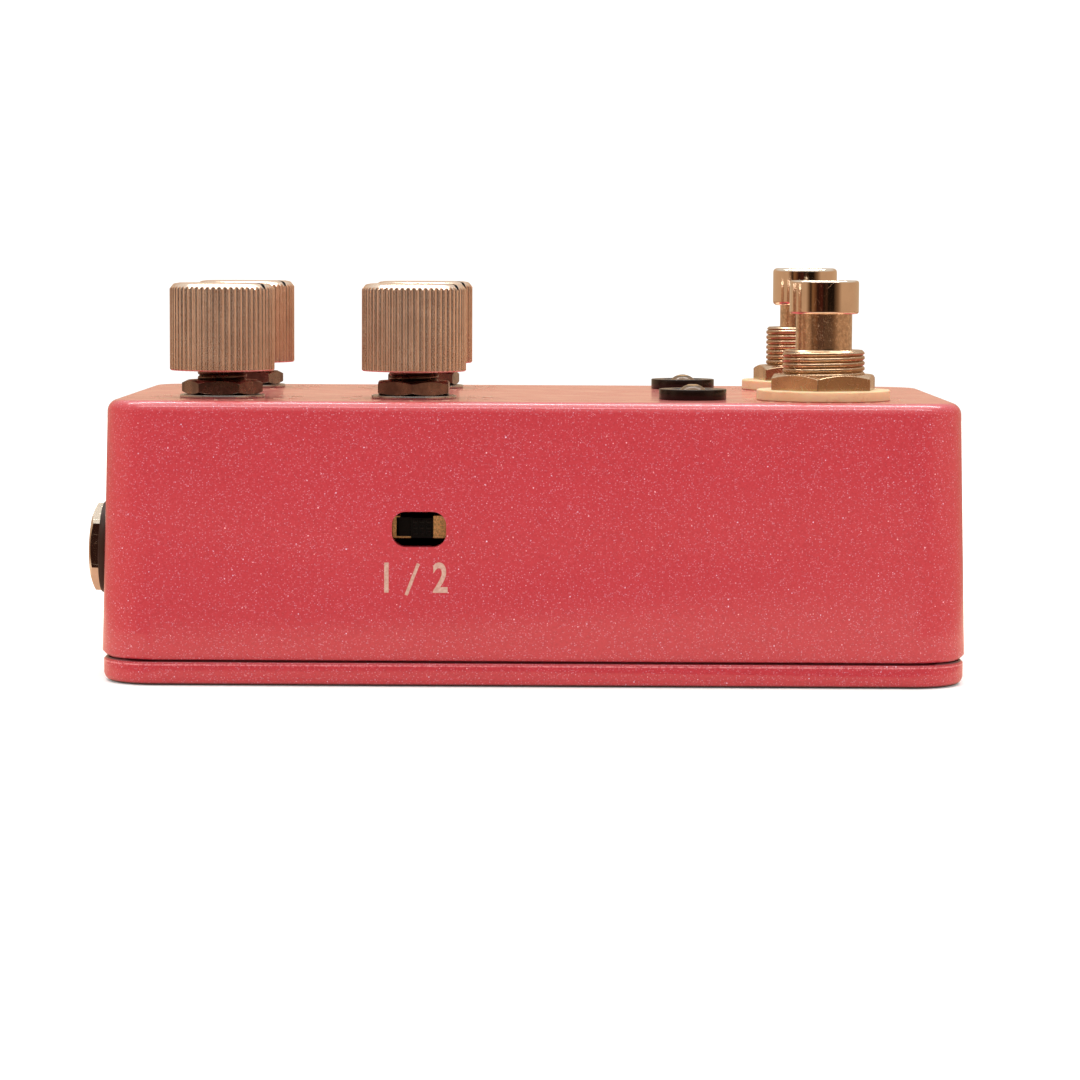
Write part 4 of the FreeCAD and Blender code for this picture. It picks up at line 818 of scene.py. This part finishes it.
knob_aluminium, tree, shader = new_material("knob_aluminium", Metallic=0.85)
wear = add_node(tree, "ShaderNodeGroup", {"Density": 260.0}, node_tree=fine_wear)
from_axis = add_node(tree, "ShaderNodeAttribute", attribute_name="from_axis").outputs["Fac"]
tool_marks = add_node(tree, "ShaderNodeTexNoise", {"W": from_axis, "Scale": 9000.0, "Detail": 3.0},
                      noise_dimensions="1D")
on_crown = remap(tree, from_axis, 6.9 * mm, 6.5 * mm)
light_tone = blend_colors(tree, remap(tree, wear.outputs["Clouds"], 0.35, 0.65), (0.74, 0.56, 0.43, 1),
                          (0.84, 0.67, 0.53, 1))
tree.links.new(light_tone, shader.inputs["Base Color"])
crown_marks = calculate(tree, "MULTIPLY", tool_marks.outputs["Fac"], on_crown)
satin = calculate(tree, "ADD", remap(tree, crown_marks, 0.0, 1.0, 0.17, 0.32),
                  calculate(tree, "MULTIPLY", wear.outputs["Scratches"], 0.06))
tree.links.new(satin, shader.inputs["Roughness"])
mark_height = calculate(tree, "SUBTRACT", crown_marks, wear.outputs["Scratches"])
add_relief(tree, shader, mark_height, 0.03, 0.02 * mm)

pointer_ink, tree, shader = new_material("pointer_ink", Roughness=0.7, Specular_IOR_Level=0.05)
black_ink = blend_colors(tree, add_noise(tree, 3000.0), (0.002, 0.002, 0.002, 1), (0.006, 0.006, 0.006, 1))
tree.links.new(black_ink, shader.inputs["Base Color"])

shaft_metal = metal("shaft_metal", (0.62, 0.58, 0.54, 1), 0.24, 450.0)
grub_steel = metal("grub_steel", (0.14, 0.13, 0.125, 1), 0.34, 500.0)
knob_low, knob_high = box_of("time_knob")
knob_height = knob_high.z - knob_low.z
knob = carved(knob_shape(knob_height), pointer_bar(knob_height, pointer_headroom))
grub_hole = turned([(0, 0), (grub_hole_radius, 0), (grub_hole_radius, grub_hole_length),
                    (0, grub_hole_length)], 48)
knob = carved(knob, moved(grub_hole, (-0.5, 0, grub_height), Matrix.Rotation(-pi / 2, 4, "Y")))
for name in knob_names:
    middle = middle_of(name + "_knob")
    spot = Vector((middle.x, middle.y, knob_low.z))
    turn = Matrix.Rotation(pointer_angle, 4, "Z")
    piece = add_piece(moved(knob.copy(), spot, turn), name + "_knob_turned", 32)
    keep_reach(piece, spot)
    dress(piece, knob_aluminium, name + "_dial", [name + "_knob"])
    dress(add_piece(moved(pointer_bar(knob_height, ink_level), spot, turn), name + "_pointer_fill"),
          pointer_ink, name + "_dial")
    dress_copy(name + "_shaft", name + "_shaft_flatted", shaft_metal, name + "_dial")
    dress_copy(name + "_grub_screw", name + "_grub_screw_steel", grub_steel, name + "_dial")


# Each lamp is a clear round diode: a domed epoxy body cast over two wires, one of which carries a
# small bright cup. It sits in a black moulded bezel that is pushed through the case.
def plastic(name, color, roughness, density=1500.0, relief=0.2, tone=0.8, **sockets):
    """A moulded plastic with a fine mould texture and a slightly uneven tone."""
    material, tree, shader = new_material(name, color, Roughness=roughness, **sockets)
    mould = add_node(tree, "ShaderNodeGroup", {"Density": density}, node_tree=mould_grain)
    darker = [channel * tone for channel in color[:3]] + [1.0]
    tree.links.new(blend_colors(tree, mould.outputs["Tone"], darker, color), shader.inputs["Base Color"])
    add_relief(tree, shader, mould.outputs["Grain"], relief, 0.05 * mm)
    return material


# The fine etched grain of a mould and the cloudy tone of plastic, shared by every moulding here.
mould_grain, given, result = effect_group("mould_grain", ["Density"], ["Grain", "Tone"])
tone_density = calculate(mould_grain, "MULTIPLY", given.outputs["Density"], 0.12)
tone = add_noise(mould_grain, tone_density, 4.0)
mould_grain.links.new(add_noise(mould_grain, given.outputs["Density"], 3.0), result.inputs["Grain"])
mould_grain.links.new(remap(mould_grain, tone, 0.35, 0.65), result.inputs["Tone"])

bezel_plastic = plastic("bezel_plastic", (0.012, 0.006, 0.004, 1), 0.22, relief=0.03, Specular_IOR_Level=0.3)
lens_epoxy, tree, shader = new_material("lens_epoxy", Transmission_Weight=0.15, IOR=1.3)
from_axis = add_node(tree, "ShaderNodeAttribute", attribute_name="from_axis").outputs["Fac"]
# The lens colour is painted light and shade: a pale ring of painted highlight where the bright cup inside
# catches the light, and painted shade that is darker in the middle and paler towards the rim.
cup_rim_highlight = calculate(tree, "MULTIPLY", remap(tree, from_axis, 0.45 * mm, 0.62 * mm, smooth=True),
                    remap(tree, from_axis, 1.05 * mm, 0.8 * mm, smooth=True))
deep_shade = blend_colors(tree, remap(tree, from_axis, 0.8 * mm, 2.3 * mm), from_rgb(72, 54, 36),
                    from_rgb(150, 116, 78))
tree.links.new(blend_colors(tree, cup_rim_highlight, deep_shade, from_rgb(196, 156, 106)), shader.inputs["Base Color"])
tree.links.new(remap(tree, add_noise(tree, 900.0), 0.3, 0.7, 0.05, 0.12), shader.inputs["Roughness"])
lead_tin = metal("lead_tin", (0.66, 0.62, 0.56, 1), 0.22, 600.0)
lens_radius = 2.5
flange_radius = 2.9
flange_height = 1.0
sleeve_radius = 3.85
bezel_radius = 4.8
lens_steps = 10
lens_sink = 0.25
lens_play = 0.06
lead_spread = 1.27
lead_side = 0.25
bezel_crown = 0.15
bezel_chamfer = 0.5
cup_drop = 1.6
cup_height = 1.3
cup_floor = 0.3
for name in ("tempo", "status"):
    bezel_low, bezel_high = box_of(name + "_lamp_bezel")
    bezel_high.z += bezel_crown
    lamp_low, lamp_high = box_of(name + "_lamp")
    lens_top = lamp_high.z - lens_sink
    axis = axis_of(name + "_lamp")
    bore = lens_radius + lens_play
    bezel = turned([(bore, bezel_low.z), (sleeve_radius, bezel_low.z), (sleeve_radius, case_top),
                    (bezel_radius, case_top), (bezel_radius, bezel_high.z),
                    (bore + bezel_chamfer, bezel_high.z), (bore, bezel_high.z - bezel_chamfer),
                    (bore, bezel_low.z)])
    dress(add_piece(moved(soften(bezel, 0.1), axis), name + "_bezel_moulded"), bezel_plastic, "enclosure",
          [name + "_lamp_bezel"])
    flange_low = bezel_low.z - flange_height
    dome_start = lens_top - lens_radius
    dome_angles = [pi / 2 * step / lens_steps for step in range(lens_steps)]
    dome = [(lens_radius * cos(angle), dome_start + lens_radius * sin(angle)) for angle in dome_angles]
    lens = turned([(0, flange_low), (flange_radius, flange_low), (flange_radius, flange_low + flange_height),
                   (lens_radius, flange_low + flange_height)] + dome + [(0, lens_top)], 64)
    piece = add_piece(moved(lens, axis), name + "_lens")
    keep_reach(piece, axis)
    dress(piece, lens_epoxy, "enclosure", [name + "_lamp"])
    cup_low = dome_start - cup_drop
    cup = turned([(0, cup_low), (0.7, cup_low), (1.25, cup_low + cup_height), (1.15, cup_low + cup_height),
                  (0.5, cup_low + cup_floor), (0, cup_low + cup_floor)], 32)
    chip = box_shape((-0.2, -0.2, cup_low + 0.25), (0.2, 0.2, cup_low + 0.5))
    leads = [soften(box_shape((side * lead_spread - lead_side, -lead_side, lamp_low.z),
                              (side * lead_spread + lead_side, lead_side, cup_low - 0.4)), 0.06)
             for side in (-1, 1)]
    yoke = box_shape((-lead_spread - 0.4, -0.3, cup_low - 1.6), (-0.15, 0.3, cup_low + 0.05))
    post = box_shape((0.3, -0.3, cup_low - 1.6), (lead_spread + 0.4, 0.3, cup_low - 0.4))
    wires = moved(join_shapes([cup, chip, yoke, post] + leads), axis)
    dress(add_piece(wires, name + "_lamp_wires"), lead_tin, "enclosure", [name + "_lamp"])


# A stomp switch has a threaded bushing on a sprung contact block. A hexagon nut holds it to the
# case over a thick nylon washer, and a steel button with a polished cap slides in it.
nylon, tree, shader = new_material("nylon", Roughness=0.42, Subsurface_Weight=0.35, Subsurface_Scale=0.002)
mould = add_node(tree, "ShaderNodeGroup", {"Density": 900.0}, node_tree=mould_grain)
rub = add_noise(tree, 260.0, 6.0, 0.7)
clean_nylon = blend_colors(tree, mould.outputs["Tone"], from_rgb(224, 196, 152), from_rgb(242, 216, 174))
stained = blend_colors(tree, remap(tree, rub, 0.56, 0.7, 0.0, 0.5), clean_nylon, from_rgb(205, 120, 70))
tree.links.new(stained, shader.inputs["Base Color"])
add_relief(tree, shader, mould.outputs["Grain"], 0.15, 0.05 * mm)
cap_chrome = metal("cap_chrome", (0.84, 0.72, 0.58, 1), 0.07, 260.0, 0.25, 0.9)
stem_steel = metal("stem_steel", (0.8, 0.61, 0.43, 1), 0.2, 1600.0, 0.5, 0.6)
bushing_nickel = metal("bushing_nickel", (0.56, 0.39, 0.245, 1), 0.22, 500.0, 0.3, 0.8)
nut_nickel = metal("nut_nickel", (0.68, 0.47, 0.29, 1), 0.22, 420.0, 0.4, 0.75)
switch_plastic = plastic("switch_plastic", (0.02, 0.05, 0.16, 1), 0.4)
spring_steel = metal("spring_steel", (0.55, 0.53, 0.5, 1), 0.25, 700.0)
stomp_nut_low, stomp_nut_high = box_of("stomp_nuts")
stomp_washer_low, stomp_washer_high = box_of("stomp_washers")
stomp_radius = 5.85
stomp_pitch = 0.76
stomp_nut_flats = 14
stomp_nut_crown = [(8.18, 0.62), (6.9, 0)]
stomp_washer_radius = 9.5
stomp_washer_play = 0.06
stem_play = 0.05
collar_extra = 0.9
collar_height = 2.4
stem_overlap = 0.3
thread_start = case_top - 0.4
stem_radii = {"tap": 4.0, "bypass": 3.75}
# Radius, height and bevel of each cap.
cap_sizes = {"tap": (4.91, 4.74, 0.35), "bypass": (4.87, 5.63, 0.6)}
stomp_turns = {"tap": 20, "bypass": 40}
spring_wire = 0.4
spring_turns = 5


def coil_shape(radius, low, high, wire, turns, segments=40):
    """A round wire wound into a spring, its two ends ground flat."""
    shape = bmesh.new()
    ring = bmesh.ops.create_circle(shape, segments=10, radius=wire)["verts"]
    moved(shape, (radius, 0, low), Matrix.Rotation(pi / 2, 4, "X"))
    bmesh.ops.spin(shape, geom=ring + shape.edges[:], cent=(0, 0, 0), axis=(0, 0, 1), angle=2 * pi * turns,
                   dvec=(0, 0, (high - low) / (segments * turns)), steps=segments * turns, use_merge=False)
    for height, way in ((high, 1), (low, -1)):
        cut_off(shape, (0, 0, height), (0, 0, way))
    bmesh.ops.holes_fill(shape, edges=[edge for edge in shape.edges if edge.is_boundary])
    bmesh.ops.recalc_face_normals(shape, faces=shape.faces)
    return shape


def plain_washer(bore, radius, low, high, segments=96):
    """A flat ring between two levels."""
    return turned([(bore, low), (radius, low), (radius, high), (bore, high), (bore, low)], segments)


nut_shapes = []
washer_shapes = []
for name in stomp_names:
    button_low, button_high = box_of(name + "_button")
    bushing_high = box_of(name + "_switch_bushing")[1]
    spring_low, spring_high = box_of(name + "_return_spring")
    axis = axis_of(name + "_button")
    stem = stem_radii[name]
    cap_radius, cap_height, cap_bevel = cap_sizes[name]
    cap_low = button_high.z - cap_height
    cap = soften(turned([(stem - 0.5, cap_low), (cap_radius, cap_low), (cap_radius, button_high.z),
                         (0, button_high.z)], 128), cap_bevel, 60, 4)
    dress(add_piece(moved(cap, axis), name + "_cap"), cap_chrome, name + "_plunger",
          [name + "_button"])
    collar = stem + collar_extra
    collar_top = button_low.z + collar_height
    stem_top = cap_low + stem_overlap
    rod = turned([(0, button_low.z), (collar, button_low.z), (collar, collar_top), (stem, collar_top),
                  (stem, stem_top), (0, stem_top)])
    dress(add_piece(moved(soften(rod, 0.12), axis), name + "_stem"), stem_steel, name + "_plunger",
          [name + "_button"])
    yoke = cut_copy(name + "_switch_bushing", (0, 0, thread_start))
    sleeve = threaded(stomp_radius, stem + stem_play, thread_start, bushing_high.z, stomp_pitch, 0.4, 96)
    for shape, ending in ((yoke, "_bushing_yoke"), (moved(sleeve, axis), "_bushing_thread")):
        dress(add_piece(shape, name + ending), bushing_nickel, "enclosure",
              [name + "_switch_bushing"])
    dress_copy(name + "_switch_base", name + "_contact_block", switch_plastic, "enclosure")
    coil_radius = (spring_high.x - spring_low.x) / 2 - spring_wire
    coil = coil_shape(coil_radius, spring_low.z, spring_high.z, spring_wire, spring_turns)
    spring = dress(add_piece(moved(coil, axis), name + "_coil_spring"), spring_steel, "enclosure",
                   [name + "_return_spring"])
    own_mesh(spring)
    nut = hex_nut(stomp_nut_flats, stomp_nut_high.z - stomp_nut_low.z, stomp_radius,
                  radians(stomp_turns[name]), stomp_nut_crown)
    nut_shapes.append(moved(nut, axis + Vector((0, 0, stomp_nut_low.z))))
    washer = plain_washer(stomp_radius + stomp_washer_play, stomp_washer_radius, stomp_washer_low.z,
                          stomp_washer_high.z, 128)
    washer_shapes.append(moved(soften(washer, 0.2, 60, 3), axis))
dress_set(nut_shapes, "stomp_nut_set", nut_nickel, "stomp_nuts")
dress_set(washer_shapes, "stomp_washer_set", nylon, "stomp_washers")


# The slide switch stands behind its slot: a folded metal frame with a window, a laminate base with
# its pins, and a black slider with nine small ridges for the fingertip.
frame_metal = metal("frame_metal", (0.98, 0.55, 0.19, 1), 0.45, 5000.0, 0.6, 0.4, 0.3)
laminate = plastic("laminate", (0.003, 0.0025, 0.002, 1), 0.6, Specular_IOR_Level=0.1)
slider_plastic = plastic("slider_plastic", (0.003, 0.0028, 0.0026, 1), 0.45, 2500.0, 0.3,
                         Specular_IOR_Level=0.15)
frame_low, frame_high = box_of("slide_switch_frame")
slider_low, slider_high = box_of("mode_slider")
frame_sheet = 0.2
window_height = 2.94
window_length = 5.15
notch_length = 4.2
notch_depth = 4.0
slider_length = 3.05
slider_height = 2.8
slider_drop = 0.15
slider_travel = 2.0
thumb_face = slider_low.y + 0.12
column_step = 0.95
row_step = 0.85
ridge_low = (-0.3, -0.12, -0.25)
ridge_high = (0.3, 0.05, 0.25)
frame_x = ((frame_low + frame_high) / 2).x
window_z = middle_of("mode_slider").z
window = box_shape((frame_x - window_length / 2, frame_low.y - 1, window_z - window_height / 2),
                   (frame_x + window_length / 2, frame_low.y + frame_sheet + 0.02,
                    window_z + window_height / 2))
notch = box_shape((frame_x - notch_length / 2, frame_low.y - 1, window_z),
                  (frame_x + window_length / 2, frame_low.y + notch_depth, frame_high.z + 1))
folded = carved(carved(whole_copy("slide_switch_frame"), window), notch)
dress(add_piece(folded, "folded_frame"), frame_metal, "enclosure",
      ["slide_switch_frame"])
dress_copy("slide_switch_base", "contact_base", laminate, "enclosure")
thumb_x = frame_x + slider_travel / 2
thumb_z = window_z - slider_drop
thumb_low = (thumb_x - slider_length / 2, thumb_face, thumb_z - slider_height / 2)
thumb_high = (thumb_x + slider_length / 2, slider_high.y - 0.4, thumb_z + slider_height / 2)
thumb = soften(box_shape(thumb_low, thumb_high), 0.08)
ridges = []
for column in (-1, 0, 1):
    for row in (-1, 0, 1):
        spot = (thumb_x + column * column_step, thumb_face, window_z + row * row_step)
        ridges.append(moved(soften(box_shape(ridge_low, ridge_high), 0.08), spot))
back_plate = box_shape((slider_low.x, frame_low.y + frame_sheet + 0.05, slider_low.z), slider_high)
dress(add_piece(join_shapes([thumb, back_plate] + ridges), "ridged_slider"), slider_plastic, "mode_slide",
      ["mode_slider"])


# Two quarter inch jacks on the left end: a moulded body with sprung contacts inside, a threaded
# bushing through the wall, a thick bevelled plastic washer, and a polished nut with a domed face.
case_half_length = 60.95
jack_z = 18.0
outward = Vector((-cos(case_draft), 0, sin(case_draft)))
jack_x = -case_half_length + (jack_z - case_low.z) * tan(case_draft)
jack_radius = 4.4
jack_bore = 3.22
jack_pitch = 0.75
jack_washer_bore = jack_radius + 0.05
jack_washer_radius = 6.6
jack_washer_thickness = 1.4
jack_nut_flats = 10.9
jack_nut_crown = [(6.39, 0.64), (5.45, 0.27), (4.7, 0)]
jack_nut_thickness = 1.5
bushing_end = 0.1
jack_plastic = plastic("jack_plastic", (0.012, 0.012, 0.013, 1), 0.38)
jack_washer_plastic = plastic("jack_washer_plastic", (0.046, 0.022, 0.014, 1), 0.45, Specular_IOR_Level=0.12)
jack_chrome = metal("jack_chrome", (0.66, 0.56, 0.45, 1), 0.14, 300.0, 0.3, 0.9)
contact_metal = metal("contact_metal", (0.72, 0.6, 0.38, 1), 0.24, 600.0)
up_the_wall = Vector((sin(case_draft), 0, cos(case_draft)))
square_to_wall = Matrix((up_the_wall, Vector((0, -1, 0)), outward)).transposed().to_4x4()
nut_shapes = []
washer_shapes = []
jack_reach = abs(middle_of("output_jack").y)
# Each jack's side of the middle, and its nut's turn in degrees.
for name, side, turn in (("output", -1, -6), ("input", 1, 11)):
    spot = Vector((jack_x, side * jack_reach, jack_z))
    body = cut_copy(name + "_jack", spot, outward)
    reach = jack_washer_thickness + jack_nut_thickness + bushing_end
    sleeve = moved(threaded(jack_radius, jack_bore, 0, reach, jack_pitch), spot, square_to_wall)
    for shape, ending, finish in ((body, "_jack_body", jack_plastic), (sleeve, "_jack_thread", jack_chrome)):
        dress(add_piece(shape, name + ending), finish, "enclosure", [name + "_jack"])
    dress_copy(name + "_jack_contacts", name + "_jack_springs", contact_metal, "enclosure")
    nut = hex_nut(jack_nut_flats, jack_nut_thickness, jack_radius, radians(turn), jack_nut_crown)
    nut_shapes.append(moved(nut, spot + outward * jack_washer_thickness, square_to_wall))
    washer = plain_washer(jack_washer_bore, jack_washer_radius, 0, jack_washer_thickness)
    washer_shapes.append(moved(soften(washer, 0.3, 60, 2), spot, square_to_wall))
dress_set(nut_shapes, "jack_nut_set", jack_chrome, "jack_nuts")
dress_set(washer_shapes, "jack_washer_set", jack_washer_plastic, "jack_washers")


# The power socket is soldered under the main board, behind its hole in the end wall, with the
# plug's centre pin standing in its bore.
socket_plastic = plastic("socket_plastic", (0.012, 0.012, 0.012, 1), 0.4)
dress_copy("power_socket", "socket_shell", socket_plastic, "enclosure")
dress_copy("power_socket_pin", "socket_pin", contact_metal, "enclosure")


# The electronics: two boards joined by a flat cable between two headers, with the delay chip,
# three small amplifier chips, capacitors and the regulator under the main board.
board_mask = plastic("board_mask", (0.01, 0.075, 0.035, 1), 0.32, 500.0, 0.15, 0.6)
header_plastic = plastic("header_plastic", (0.015, 0.015, 0.016, 1), 0.4)
ribbon_plastic = plastic("ribbon_plastic", (0.32, 0.32, 0.34, 1), 0.45)
chip_plastic = plastic("chip_plastic", (0.014, 0.014, 0.015, 1), 0.5)
film_plastic = plastic("film_plastic", (0.4, 0.09, 0.02, 1), 0.35)
can_metal = metal("can_metal", (0.5, 0.5, 0.52, 1), 0.3, 300.0)
electronics = {"main_board": (board_mask, "board_laminate"),
               "stomp_board": (board_mask, "board_laminate"),
               "main_board_header": (header_plastic, "header_plastic"),
               "stomp_board_header": (header_plastic, "header_plastic"),
               "ribbon_cable": (ribbon_plastic, "ribbon_plastic"),
               "delay_chip": (chip_plastic, "chip_plastic"),
               "amplifier_chips": (chip_plastic, "chip_plastic"),
               "voltage_regulator": (chip_plastic, "chip_plastic"),
               "film_capacitors": (film_plastic, "film_capacitor_plastic"),
               "electrolytic_capacitors": (can_metal, "capacitor_can")}
for name, (finish, slot) in electronics.items():
    dress_copy(name, name + "_fitted", finish, "enclosure")
